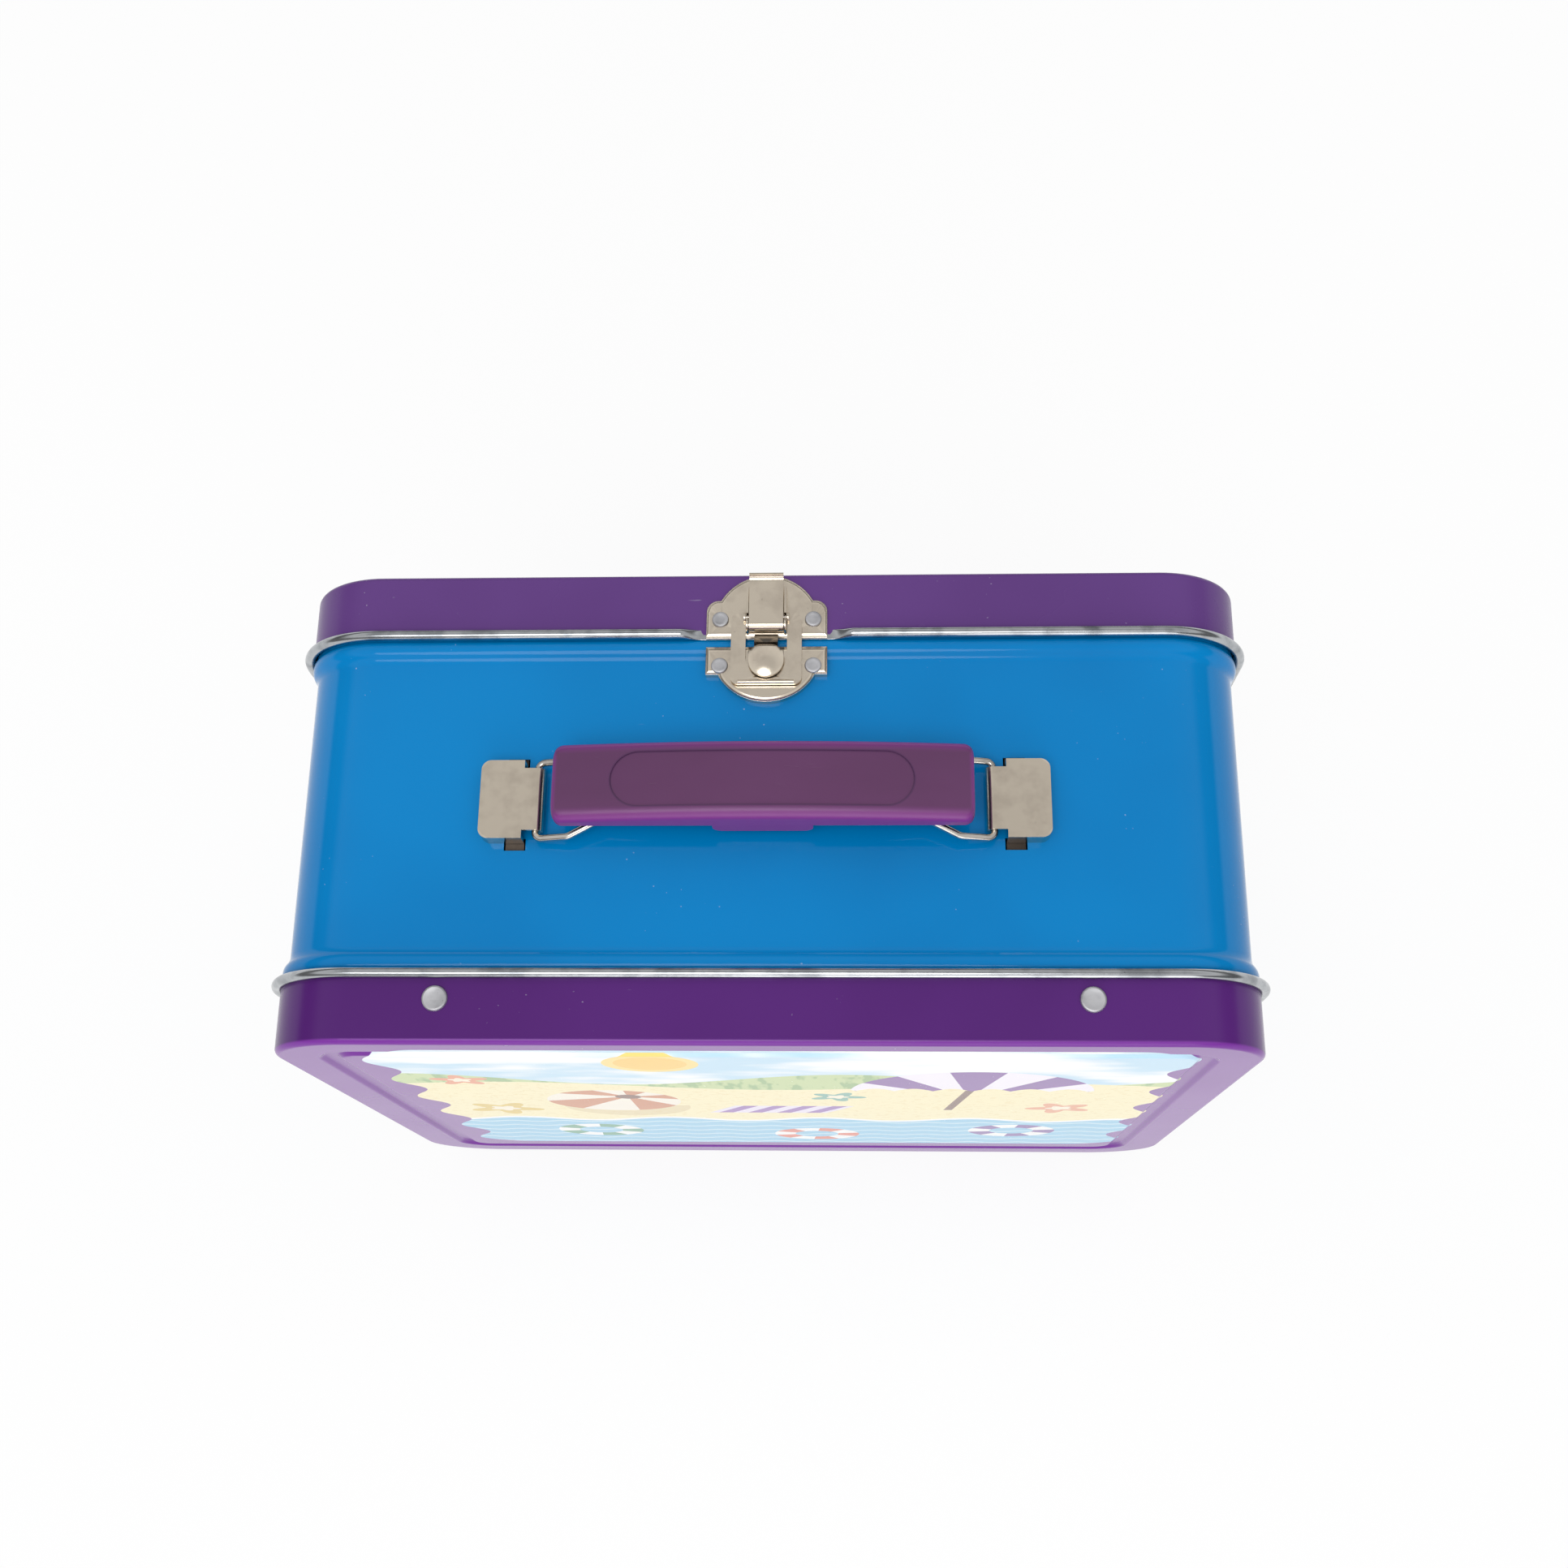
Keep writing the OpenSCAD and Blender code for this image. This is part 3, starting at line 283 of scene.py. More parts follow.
warm, hazed = tint(226, 214, 196), tint(198, 186, 170)
rim_tin = plated("rolled_bare_tin", tint(182, 185, 188), tint(112, 116, 122), 0.10,
                 haze=0.1, bruise=0.3, deep=0.0015)
lining_tin = plated("inside_tinplate", tint(226, 226, 222), tint(206, 205, 201), 0.36, haze=0.1)
nickel = plated("warm_nickel_plate", warm, hazed, 0.13, haze=0.1)
wire_nickel = plated("drawn_nickel_wire", tint(208, 202, 194), tint(150, 144, 138), 0.12, haze=0.08)
bracket_nickel = plated("bracket_nickel_plate", warm, hazed, 0.13, haze=0.1, painted_shade=bracket_feet_painted_shade)
base_nickel = plated("base_nickel_plate", warm, hazed, 0.12, haze=0.1, rolled=base_edge)
catch_nickel = plated("catch_nickel_plate", warm, hazed, 0.12, haze=0.1, rolled=catch_edge, painted_shade=hook_neck_painted_shade)
rivet_metal = plated("dull_aluminium", tint(206, 206, 209), tint(160, 160, 164), 0.38, (1, 1, 1),
                     haze=0.2, bruise=0.35)
print("metals:", [f.material.name for f in (rim_tin, lining_tin, nickel, wire_nickel, bracket_nickel,
                                            base_nickel, catch_nickel, rivet_metal)])

# %% [markdown]
# ## Growing pieces with Geometry Nodes
# A tin's wrap, lid, tray and rims all follow one rule: a thin profile carried round the same
# rounded rectangle. That is a curve swept by a profile, so a single node tree makes them all.
# `Grower` writes such a tree with named inputs; `grow` fills them in by their identifiers,
# evaluates the piece and keeps a plain mesh, because later tools don't see a live tree.

# %% Tools that build and run a tree
class Grower:
    def __init__(self, name, **inputs):
        self.tree = bpy.data.node_groups.new(name, "GeometryNodeTree")
        face = self.tree.interface
        face.new_socket("Geometry", in_out="INPUT", socket_type="NodeSocketGeometry")
        for key, kind in inputs.items():
            face.new_socket(key.replace("_", " "), in_out="INPUT", socket_type="NodeSocket" + kind)
        face.new_socket("Geometry", in_out="OUTPUT", socket_type="NodeSocketGeometry")
        self.given = self.tree.nodes.new("NodeGroupInput").outputs

    def node(self, kind, settings=None, sockets=None, output=0):
        made = self.tree.nodes.new(kind)
        for key, value in (settings or {}).items():
            setattr(made, key, value)
        for key, value in (sockets or {}).items():
            socket = named(made.inputs, key)
            for one in value if isinstance(value, list) else [value]:
                if isinstance(one, bpy.types.NodeSocket):
                    self.tree.links.new(one, socket)
                else:
                    socket.default_value = one
        return named(made.outputs, output)

    def math(self, operation, a, b):
        return self.node("ShaderNodeMath", {"operation": operation}, {0: a, 1: b})

    def finish(self, geometry):
        """Ends the tree: instances made real, smooth shading, and its material."""
        real = self.node("GeometryNodeRealizeInstances", {}, {"Geometry": geometry})
        smooth = self.node("GeometryNodeSetShadeSmooth", {}, {"Geometry": real})
        painted = self.node("GeometryNodeSetMaterial", {}, {"Geometry": smooth,
                                                            "Material": self.given["Material"]})
        self.tree.links.new(painted, self.tree.nodes.new("NodeGroupOutput").inputs[0])


def placed(name, data):
    """A new object in the scene, at the origin."""
    thing = bpy.data.objects.new(name, data)
    bpy.context.scene.collection.objects.link(thing)
    return thing


def applied(piece):
    """Puts the result of every modifier in place of the mesh."""
    bpy.context.view_layer.update()
    graph = bpy.context.evaluated_depsgraph_get()
    mesh = bpy.data.meshes.new_from_object(piece.evaluated_get(graph), depsgraph=graph)
    piece.modifiers.clear()
    piece.data = mesh
    return piece


def settle(piece, crease=32):
    """Applies every modifier, and shades all but the creases smooth."""
    mesh = applied(piece).data
    mesh.polygons.foreach_set("use_smooth", [True] * len(mesh.polygons))
    mesh.set_sharp_from_angle(angle=math.radians(crease))
    return piece


def even_shade(piece):
    """Lets the large faces decide the shading, so that flats stay flat beside a tight bend."""
    modifier = piece.modifiers.new("flats", "WEIGHTED_NORMAL")
    modifier.keep_sharp = True
    modifier.weight = 80
    return applied(piece)


def grow(name, start, grower, finish, **sizes):
    """Runs a tree on a start mesh of (points, edges) and keeps the result as a plain mesh."""
    mesh = bpy.data.meshes.new(name)
    mesh.from_pydata(*[list(part) for part in start], [])
    piece = placed(name, mesh)
    modifier = piece.modifiers.new("grow", "NODES")
    modifier.node_group = grower.tree
    sizes["Material"] = finish.material
    for item in grower.tree.interface.items_tree:
        if item.in_out == "INPUT" and item.name.replace(" ", "_") in sizes:
            modifier[item.identifier] = sizes[item.name.replace(" ", "_")]
    return settle(piece)


def mesh_of(name, skin):
    """Turns a finished bmesh into a mesh."""
    mesh = bpy.data.meshes.new(name)
    skin.to_mesh(mesh)
    skin.free()
    return mesh


def skinned(skin, rows, closed=True):
    """Fills the faces between each row of points and the next."""
    for a, b in zip(rows, rows[1:]):
        for k in range(0 if closed else 1, len(a)):
            skin.faces.new((a[k - 1], a[k], b[k], b[k - 1]))


def size_note(piece):
    bpy.context.view_layer.update()
    points = np.array([v.co for v in piece.data.vertices]) / mm
    print(f"{piece.name}: {len(piece.data.polygons)} faces,",
          points.min(0).round(2), points.max(0).round(2))


print("a tree's result is kept as a plain mesh at the origin")


# %% [markdown]
# ## The rule of the tin
# The tree draws the rounded rectangle of the skirts flat, fillets its corners, and sweeps the
# profile along it. In the profile, x is the distance outside the skirts and y is the depth, so
# the swept band is then stood up by a quarter turn. A pressed face also needs its flat middle:
# the same rectangle, inset, filled, and welded to the sweep where their points coincide.

# %% The sweep tree
sweep = Grower("round_box_sweep", Width="Float", Height="Float", Corner="Float", Steps="Int",
               Panel="Bool", Inset="Float", Panel_Depth="Float", Middle="Float", Material="Material")


def rounded_outline(inset):
    """The rounded rectangle of the skirts, drawn that far inside."""
    given = sweep.given
    width = sweep.math("SUBTRACT", given["Width"], sweep.math("MULTIPLY", inset, 2.0))
    height = sweep.math("SUBTRACT", given["Height"], sweep.math("MULTIPLY", inset, 2.0))
    rectangle = sweep.node("GeometryNodeCurvePrimitiveQuadrilateral", {},
                           {"Width": width, "Height": height})
    corner = sweep.math("SUBTRACT", given["Corner"], inset)
    return sweep.node("GeometryNodeFilletCurve", {"mode": "POLY"},
                      {"Curve": rectangle, "Count": given["Steps"], "Radius": corner})


profile = sweep.node("GeometryNodeMeshToCurve", {}, {"Mesh": sweep.given["Geometry"]})
swept = sweep.node("GeometryNodeCurveToMesh", {}, {"Curve": rounded_outline(0.0),
                                                   "Profile Curve": profile})
middle = sweep.node("GeometryNodeFillCurve", {"mode": "NGONS"},
                    {"Curve": rounded_outline(sweep.given["Inset"])})
depth = sweep.math("MULTIPLY", sweep.given["Panel Depth"], -1.0)
raised = sweep.node("ShaderNodeCombineXYZ", {}, {"Z": depth})
middle = sweep.node("GeometryNodeTransform", {}, {"Geometry": middle, "Translation": raised})
middle = sweep.node("GeometryNodeSwitch", {"input_type": "GEOMETRY"},
                    {"Switch": sweep.given["Panel"], "True": middle})
joined = sweep.node("GeometryNodeJoinGeometry", {}, {"Geometry": [swept, middle]})
welded = sweep.node("GeometryNodeMergeByDistance", {}, {"Geometry": joined, "Distance": 1e-5})
lift = sweep.node("ShaderNodeCombineXYZ", {}, {"Z": sweep.given["Middle"]})
stood = sweep.node("GeometryNodeTransform", {}, {"Geometry": welded, "Translation": lift,
                                                 "Rotation": (math.pi / 2, 0, 0)})
sweep.finish(stood)

width, height, corner = 200, 168, 18    # of the skirts
tin_middle = 85.9                       # height of the tin's middle above the foot of the rims
tin = {"Width": width * mm, "Height": height * mm, "Corner": corner * mm, "Steps": 20,
       "Middle": tin_middle * mm}


def bent_line(corners, steps=5):
    """A line through (x, y, radius) corners, each rounded by its radius."""
    points = []
    for i, (x, y, radius) in enumerate(corners):
        here = Vector((x, y))
        if radius == 0 or i in (0, len(corners) - 1):
            points.append(here)
            continue
        back = (Vector(corners[i - 1][:2]) - here).normalized()
        on = (Vector(corners[i + 1][:2]) - here).normalized()
        half = back.angle(on) / 2
        middle_way = (back + on).normalized()
        centre = here + middle_way * (radius / math.sin(half))
        a = here + back * (radius / math.tan(half)) - centre
        b = here + on * (radius / math.tan(half)) - centre
        points += [centre + a.lerp(b, k / steps).normalized() * radius for k in range(steps + 1)]
    return points


def as_line(points, closed=False):
    """Profile points in millimetres, as the start mesh of a tree."""
    places = [(p[0] * mm, p[1] * mm, 0) for p in points]
    edges = [(i, i + 1) for i in range(len(places) - 1)]
    return places, edges + ([(len(places) - 1, 0)] if closed else [])


print("the skirts are", width, "by", height, "mm, with corners of", corner, "mm")

# %% [markdown]
# ## The camera and the studio
# The tin is seen from above and in front, close enough for strong perspective, so the camera is
# placed by its measured position and three axes instead of a look-at helper.

# %% Camera
lens = bpy.data.cameras.new("studio_camera")
lens.lens, lens.sensor_width = 40.51, 36.0
lens.clip_start, lens.clip_end = 0.01, 50
camera = placed("studio_camera", lens)
across, down, ahead = (Vector(v) for v in ((0.99916155, 0.01020003, -0.0396505),
                                           (-0.00298032, -0.94777824, -0.31891617),
                                           (-0.04083284, 0.31876694, -0.94695318)))
camera.matrix_world = Matrix.Translation((0.018517, -0.110739, 0.508228)) @ Matrix(
    (across, -down, -ahead)).transposed().to_4x4()
bpy.context.scene.camera = camera
bpy.context.scene.view_settings.view_transform = "Standard"
print("camera at", tuple(round(v, 3) for v in camera.location))

# %% [markdown]
# ## Light without glare
# The backdrop and the floor are white to the eye. A white world would also light the tin from
# every side and wash its colours out, so the world asks what kind of ray arrives: rays that
# light the tin meet a duller world, and gloss sees white walls under a softer ceiling. The
# lamps are two large soft boxes. The floor is plain paper, and is clear when seen from below.

# %% World and lamps
world = bpy.data.worlds.new("white_studio")
bpy.context.scene.world = world
world.use_nodes = True
world_nodes, world_links = world.node_tree.nodes, world.node_tree.links
ray = world_nodes.new("ShaderNodeLightPath").outputs


def studio_light(*stops):
    """A world background whose strength follows (height, strength) stops, from floor to zenith."""
    split = world_nodes.new("ShaderNodeSeparateXYZ")
    world_links.new(world_nodes.new("ShaderNodeTexCoord").outputs["Generated"], split.inputs[0])
    ramp = world_nodes.new("ShaderNodeValToRGB")
    ramp.color_ramp.interpolation = "EASE"
    while len(ramp.color_ramp.elements) < len(stops):
        ramp.color_ramp.elements.new(0.5)
    for element, (height, strength) in zip(ramp.color_ramp.elements, stops):
        element.position, element.color = height, (strength, strength, strength, 1)
    glow = world_nodes.new("ShaderNodeBackground")
    world_links.new(split.outputs["Z"], ramp.inputs[0])
    world_links.new(ramp.outputs[0], glow.inputs["Color"])
    return glow.outputs[0]


def choose(rule, yes, no):
    """One background where the rule is 1, and the other where it is 0."""
    pick = world_nodes.new("ShaderNodeMixShader")
    world_links.new(rule, pick.inputs[0])
    world_links.new(no, pick.inputs[1])
    world_links.new(yes, pick.inputs[2])
    return pick.outputs[0]


white = studio_light((0, 1), (1, 1))
walls = studio_light((0.08, 1), (0.22, 0.16), (0.46, 0.2), (0.66, 0.8), (0.86, 0.68), (0.98, 0.52))
seen = choose(ray["Is Glossy Ray"], walls, studio_light((0, 0.26), (1, 1.0)))
seen = choose(ray["Is Transmission Ray"], white, seen)
seen = choose(ray["Is Camera Ray"], white, seen)
world_links.new(seen, world_nodes["World Output"].inputs[0])


def soft_box(name, place, aim, size, power):
    lamp = bpy.data.lights.new(name, "AREA")
    lamp.shape, lamp.size, lamp.energy = "DISK", size, power
    box = placed(name, lamp)
    box.location = place
    box.rotation_euler = (Vector(aim) - Vector(place)).to_track_quat("-Z", "Y").to_euler()


soft_box("key_soft_box", (-0.15, -0.5, 1.3), (0, 0, 0.12), 0.7, 4.2)
soft_box("front_fill", (0.1, -1.2, 0.45), (0, 0, 0.08), 0.9, 3.6)
print(len(bpy.data.lights), "lamps")

# %% Floor
floor_paint = Finish("studio_floor")
paper = floor_paint.noise(300, 2)
floor_paint.set(Base_Color=floor_paint.mix(paper, (0.9, 0.9, 0.9, 1), (0.92, 0.92, 0.92, 1)),
                Roughness=0.8 + 0.1 * paper, Specular_IOR_Level=0.1)
glow = floor_paint.node("Emission", {}, {"Color": (1, 1, 1, 1), "Strength": 1.0})
path = floor_paint.node("LightPath").socket.node.outputs
eye, gloss, glass = (Field(floor_paint, path[f"Is {kind} Ray"])
                     for kind in ("Camera", "Glossy", "Transmission"))
bright = eye.math("MAXIMUM", gloss).math("MAXIMUM", glass) * 0.88
paint = Field(floor_paint, floor_paint.shader.outputs[0])
shade = floor_paint.node("MixShader", {}, {0: bright, 1: paint, 2: glow})
beneath = floor_paint.node("NewGeometry", output="Backfacing")
shade = floor_paint.node("MixShader", {}, {0: beneath, 1: shade, 2: floor_paint.node("BsdfTransparent")})
floor_paint.links.new(shade.socket, floor_paint.nodes["Material Output"].inputs[0])

mesh = bpy.data.meshes.new("studio_floor")
mesh.from_pydata([(-6, -6, 0), (6, -6, 0), (6, 6, 0), (-6, 6, 0)], [], [(0, 1, 2, 3)])
mesh.materials.append(floor_paint.material)
floor = placed("studio_floor", mesh)
print("the floor is 12 m wide")

# %% [markdown]
# ## Sheet metal from a swept skin
# A shell starts as one skin, its printed outside. Its normals are put right while it is still a
# single skin, then Solidify gives it the sheet's thickness inwards, with bare tinplate on the
# inside. Openings are cut last with Boolean, by plain blocks that are thrown away afterwards.

# %% Tools for sheet metal
sheet = 0.3    # thickness of the tinplate


def outward(piece, middle=Vector((0, 0, tin_middle * mm))):
    """Merges doubles and turns the skin's faces away from a point inside."""
    skin = bmesh.new()
    skin.from_mesh(piece.data)
    bmesh.ops.remove_doubles(skin, verts=skin.verts, dist=1e-6)
    bmesh.ops.recalc_face_normals(skin, faces=skin.faces)
    vote = sum(f.normal.dot(f.calc_center_median() - middle) * f.calc_area() for f in skin.faces)
    if vote < 0:
        bmesh.ops.reverse_faces(skin, faces=skin.faces)
    skin.to_mesh(piece.data)
    skin.free()
    return piece


def thicken(piece, wall_width, lining=None):
    """Gives a skin its thickness, inwards."""
    outward(piece)
    wall = piece.modifiers.new("sheet", "SOLIDIFY")
    wall.thickness, wall.offset, wall.use_even_offset = wall_width * mm, -1, True
    if lining:
        piece.data.materials.append(lining.material)
        wall.material_offset = wall.material_offset_rim = 1
    return settle(piece)


def block(x, y, z):
    """A cutter between two X, two Y and two Z values, in millimetres."""
    corners = [Vector((a, b, c)) * mm for a in x for b in y for c in z]
    sides = [(0, 1, 3, 2), (4, 6, 7, 5), (0, 4, 5, 1), (2, 3, 7, 6), (0, 2, 6, 4), (1, 5, 7, 3)]
    mesh = bpy.data.meshes.new("cutter")
    mesh.from_pydata(corners, [], sides)
    return placed("cutter", mesh)


def cut(piece, cutters):
    """Cuts openings, and throws the cutters away."""
    for cutter in cutters:
        hole = piece.modifiers.new("opening", "BOOLEAN")
        hole.operation, hole.object, hole.solver = "DIFFERENCE", cutter, "EXACT"
    settle(piece)
    for cutter in cutters:
        bpy.data.objects.remove(cutter)
    return piece


print("sheet is", sheet, "mm thick")

# %% [markdown]
# ## The blue wrap
# The wrap is one long strip bent round the tin. It is flat across the middle, swells to a bead
# beside each rim, and slips into the rims as a narrow neck. It could be bent from a plane, but
# it follows the skirts all round, so the sweep makes it. The bead is two arcs of one radius, a
# hollow one and a full one, which meet without a kink.

# %% Blue wrap
def bead(side, reach):
    """From the flat middle of the wrap, over one bead, to the end of its neck."""
    r, bend, last = 2.7625, math.radians(39.3), math.radians(38.48)

    def arc(centre_x, centre_y, angle):
        return centre_x + r * math.cos(angle), centre_y + r * math.sin(angle)

    hollow = [arc(1.4625, 30, math.pi - bend * k / 10) for k in range(11)]
    full = [arc(-2.8125, 33.5, -bend + (bend + last) * k / 18) for k in range(1, 19)]
    return [(n, side * y) for n, y in [(-1.3, 29.4), *hollow, *full, (-0.65, 36.2), (-0.65, reach)]]


wrap_line = bead(-1, 45.5)[::-1] + bead(1, 42.0)
wrap = grow("blue_wrap", as_line(wrap_line), sweep, wrap_blue, **tin)
thicken(wrap, sheet, lining_tin)
leg_slots = [block(x, y, (167.5, 170)) for x in ((48.3, 52.7), (-52.7, -48.3))
             for y in ((6.55, 9.05), (-10.45, -7.95))]
latch_gap = block((-15, 15), (37.4, 50), (160, 172))
cut(wrap, leg_slots + [latch_gap])
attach(wrap, "tin_body")
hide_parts("band_shell")
size_note(wrap)

# %% [markdown]
# ## The print on the front
# The front carries a holiday picture inside a border with wavy sides. A print can be an image,
# but a picture that is worked out from its shapes stays sharp at any distance and needs no
# file. Each shape is a mask: 1 inside, 0 outside, with an edge a fifth of a millimetre soft.
# Masks pick between two colours, from the back of the picture to its front.

# %% Shapes for a print
def disc(f, x, z, radius):
    return (span(f.x - x, f.z - z) - radius).fade(-0.1, 0.1)


def turn(f, x, z):
    """The angle round a point, in radians."""
    return (f.z - z).math("ARCTAN2", f.x - x)


def wavy(along, length, height):
    return (along * (math.tau / length)).math("SINE") * height


def star(f, x, z, radius, arms, depth, lean=0.0):
    """A soft star or flower: its radius swells with each arm."""
    swell = ((turn(f, x, z) + lean) * arms).math("COSINE") * depth
    return (span(f.x - x, f.z - z) - swell - radius).fade(-0.1, 0.1)


def slices(f, x, z, count, lean=0.0):
    """Alternating wedges round a point."""
    return ((turn(f, x, z) + lean) * (count / 2)).math("SINE").step(-0.04, 0.04)


def beside(a, b):
    """Where both masks are 1."""
    return a * b


# %% A day at the beach
def beach(f, ground):
    """Sky, dunes, sand and surf, with a parasol, a ball, a towel, stars and swim rings."""
    cloud = f.noise(34, 3, (0.7, 1, 1.6)).step(0.46, 0.60)
    art = f.mix(cloud, tint(190, 224, 244), tint(250, 252, 253))
    art = f.mix(disc(f, -24, 148, 10), art, tint(252, 222, 130))
    art = f.mix(disc(f, -24, 148, 7.6), art, tint(250, 205, 92))
    dune = (f.z - 128 - wavy(f.x + 8, 96, 7)).fade(-0.1, 0.1)
    blade = f.noise(3.2, 2, (1.0, 1, 0.25)).step(0.50, 0.62)
    art = f.mix(dune, art, f.mix(blade, tint(196, 214, 150), tint(150, 184, 120)))
    sand = (f.z - 119 - wavy(f.x - 30, 120, 5)).fade(-0.1, 0.1)
    grain = f.noise(1.3, 1).step(0.56, 0.66) * 0.35
    art = f.mix(sand, art, f.mix(grain, tint(250, 238, 190), tint(236, 212, 148)))
    shore = f.z - 66 - wavy(f.x, 37, 2.6)
    art = f.mix(shore.fade(2.2, 2.4), art, tint(252, 253, 252))
    ripple = wavy(f.z + wavy(f.x, 13, 0.9), 7.5, 1).step(0.72, 0.84)
    art = f.mix(shore.fade(-0.1, 0.1), art,
                f.mix(ripple, tint(142, 202, 232), tint(196, 230, 244)))

    shadow = disc(f, -36, 88, 15)
    art = f.mix(beside(shadow, (f.z - 90).fade(-0.1, 0.1)) * 0.5, art, tint(214, 190, 140))
    ball = f.mix(slices(f, -34, 103, 10, 0.3), tint(248, 240, 224), tint(206, 132, 84))
    art = f.mix(disc(f, -38, 97, 15.5), art, f.mix(disc(f, -34, 103, 3), ball, tint(122, 74, 52)))

    pole = beside(abs(f.x - 40 - (f.z - 84) * 0.12).fade(0.9, 1.1),
                  beside((f.z - 84).step(0, 0.2), (f.z - 114).fade(0, 0.2)))
    art = f.mix(pole, art, tint(120, 82, 66))
    hem = (f.z - 113 - abs(wavy(f.x - 44, 17.2, 3.4))).step(-0.1, 0.1)
    dome = beside(disc(f, 44, 112, 27), hem)
    art = f.mix(dome, art, f.mix(slices(f, 44, 104, 18), tint(246, 240, 250), tint(126, 74, 160)))

    lean = f.x - (f.z - 80) * 0.6
    towel = beside(abs(lean + 2).fade(14, 14.2), abs(f.z - 84).fade(5.5, 5.7))
    stripes = wavy(lean, 7, 1).step(-0.1, 0.1)
    art = f.mix(towel, art, f.mix(stripes, tint(236, 226, 244), tint(150, 104, 182)))

    for x, z, size, lean, colour in (
            (-66, 84, 7, 0.2, tint(226, 196, 92)), (-68, 126, 5, 0.9, tint(232, 150, 110)),
            (66, 88, 6, 0.5, tint(232, 160, 120)), (14, 104, 5, 0.1, tint(120, 176, 160))):
        art = f.mix(star(f, x, z, size, 5, size * 0.34, lean), art, colour)
        art = f.mix(star(f, x, z, size * 0.45, 5, size * 0.1, lean), art, tint(250, 240, 214))
    for x, z, colour in (
            (-48, 46, tint(92, 162, 128)), (8, 40, tint(226, 120, 96)), (58, 48, tint(124, 84, 162))):
        ring = disc(f, x, z, 11) - disc(f, x, z, 5.6)
        art = f.mix(ring, art, f.mix(slices(f, x, z, 10, 0.4), tint(250, 250, 248), colour))

    out_x = (abs(f.x - 2.5) - wavy(f.z, 24, 2.4) - 74).math("MAXIMUM", 0.0)
    out_z = (abs(f.z - 92.6) - 61.7).math("MAXIMUM", 0.0)
    # Painted light: the front face round the picture is painted a lighter purple than the skirts, for the
    # light that falls on it from the front.
    face_painted_light = f.mix(f.noise(40, 2), tint(126, 54, 160), tint(116, 48, 148))
    ground = f.mix(f.y.fade(-49.3, -48.7), ground, face_painted_light)
    panel = beside((span(out_x, out_z) - 9).fade(-0.1, 0.1), f.y.fade(-48.8, -48.4))
    return f.mix(panel, ground, art)


tray_purple = lacquer("tray_purple_lacquer", tint(84, 32, 116), tint(78, 27, 108), 0.18, 0.3, printed=beach)
print("the print uses", len(tray_purple.nodes), "nodes")

# %% [markdown]
# ## The front tray and the back lid
# Both halves are pressed from one blank: a flat panel, a shallow channel round it, a tight bend
# and a skirt. The same profile does for both, with its depths turned over for the back. The
# panel is the tree's flat middle, welded on. The lid's skirt is cut away at the hinges.

# %% Pressed halves
rim_depth, face_depth, channel_depth, panel_inset = 36, 50, 49.2, 15


def pressed(side):
    """From the rim, up the skirt, over the bend and through the channel to the flat panel."""
    corners = [(0, rim_depth, 0), (0, rim_depth + 1, 0), (0, face_depth, 1.2), (-9, face_depth, 1.0),
               (-10, channel_depth, 0.8), (-12.5, channel_depth, 0.8), (-13.5, face_depth, 1.0),
               (-panel_inset, face_depth, 0)]
    return [(n, side * y) for n, y in bent_line(corners, 6)]


def half(name, side, finish):
    piece = grow(name, as_line(pressed(side)), sweep, finish, Panel=True, Inset=panel_inset * mm,
                 Panel_Depth=side * face_depth * mm, **tin)
    return thicken(piece, sheet, lining_tin)


tray = half("front_tray_shell", -1, tray_purple)
even_shade(tray)
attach(tray, "tin_body")
size_note(tray)

lid = half("back_lid_shell", 1, lid_purple)
hinge_place, hinge_gap = 60, 12.3
cut(lid, [block((s * hinge_place - hinge_gap, s * hinge_place + hinge_gap),
                (33, rim_depth + 1.35), (-1, 3.3)) for s in (-1, 1)])
even_shade(lid)
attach(lid, "lid")
size_note(lid)

# %% [markdown]
# ## The rolled rims
# A rim is the sheet rolled outwards into a bead as thick as a thick wire. The front one is the
# same all round, so it is one more sweep.

# %% Front rim by the sweep
rim_out, rim_radius, rim_sides = 0.8, 1.1, 20
ring = [(rim_out + rim_radius * math.cos(math.tau * k / rim_sides),
         -rim_depth + rim_radius * math.sin(math.tau * k / rim_sides)) for k in range(rim_sides)]
front_rim = outward(grow("front_rolled_rim", as_line(ring, closed=True), sweep, rim_tin, **tin))
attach(front_rim, "tin_body")
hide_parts("front_tray")
size_note(front_rim)

# %% [markdown]
# ## The back rim
# The back rim is squeezed flat under the latch and is cut away at the hinges. One sweep keeps
# one section, so this rim is built ring by ring: each ring asks how flat it should be where it
# stands. Only the right half is worked out, and the left half is its mirror image.

# %% Back rim, ring by ring
def skirt_place(s):
    """Place and outward direction on the skirts, s mm from the middle of the bottom, anticlockwise."""
    w, h, r = width / 2, height / 2, corner
    arc = math.pi / 2 * r
    for run, start, heading in ((w - r, (0, -h), 0), (2 * (h - r), (w, r - h), 90),
                                (w - r, (w - r, h), 180)):
        a = math.radians(heading)
        if s <= run:
            return (start[0] + s * math.cos(a), start[1] + s * math.sin(a)), (math.sin(a), -math.cos(a))
        s -= run
        if s <= arc:
            end = (start[0] + run * math.cos(a), start[1] + run * math.sin(a))
            b = a - math.pi / 2 + s / r
            centre = (end[0] - r * math.sin(a), end[1] + r * math.cos(a))
            return (centre[0] + r * math.cos(b), centre[1] + r * math.sin(b)), (math.cos(b), math.sin(b))
        s -= arc
    return (0, h), (0, 1)


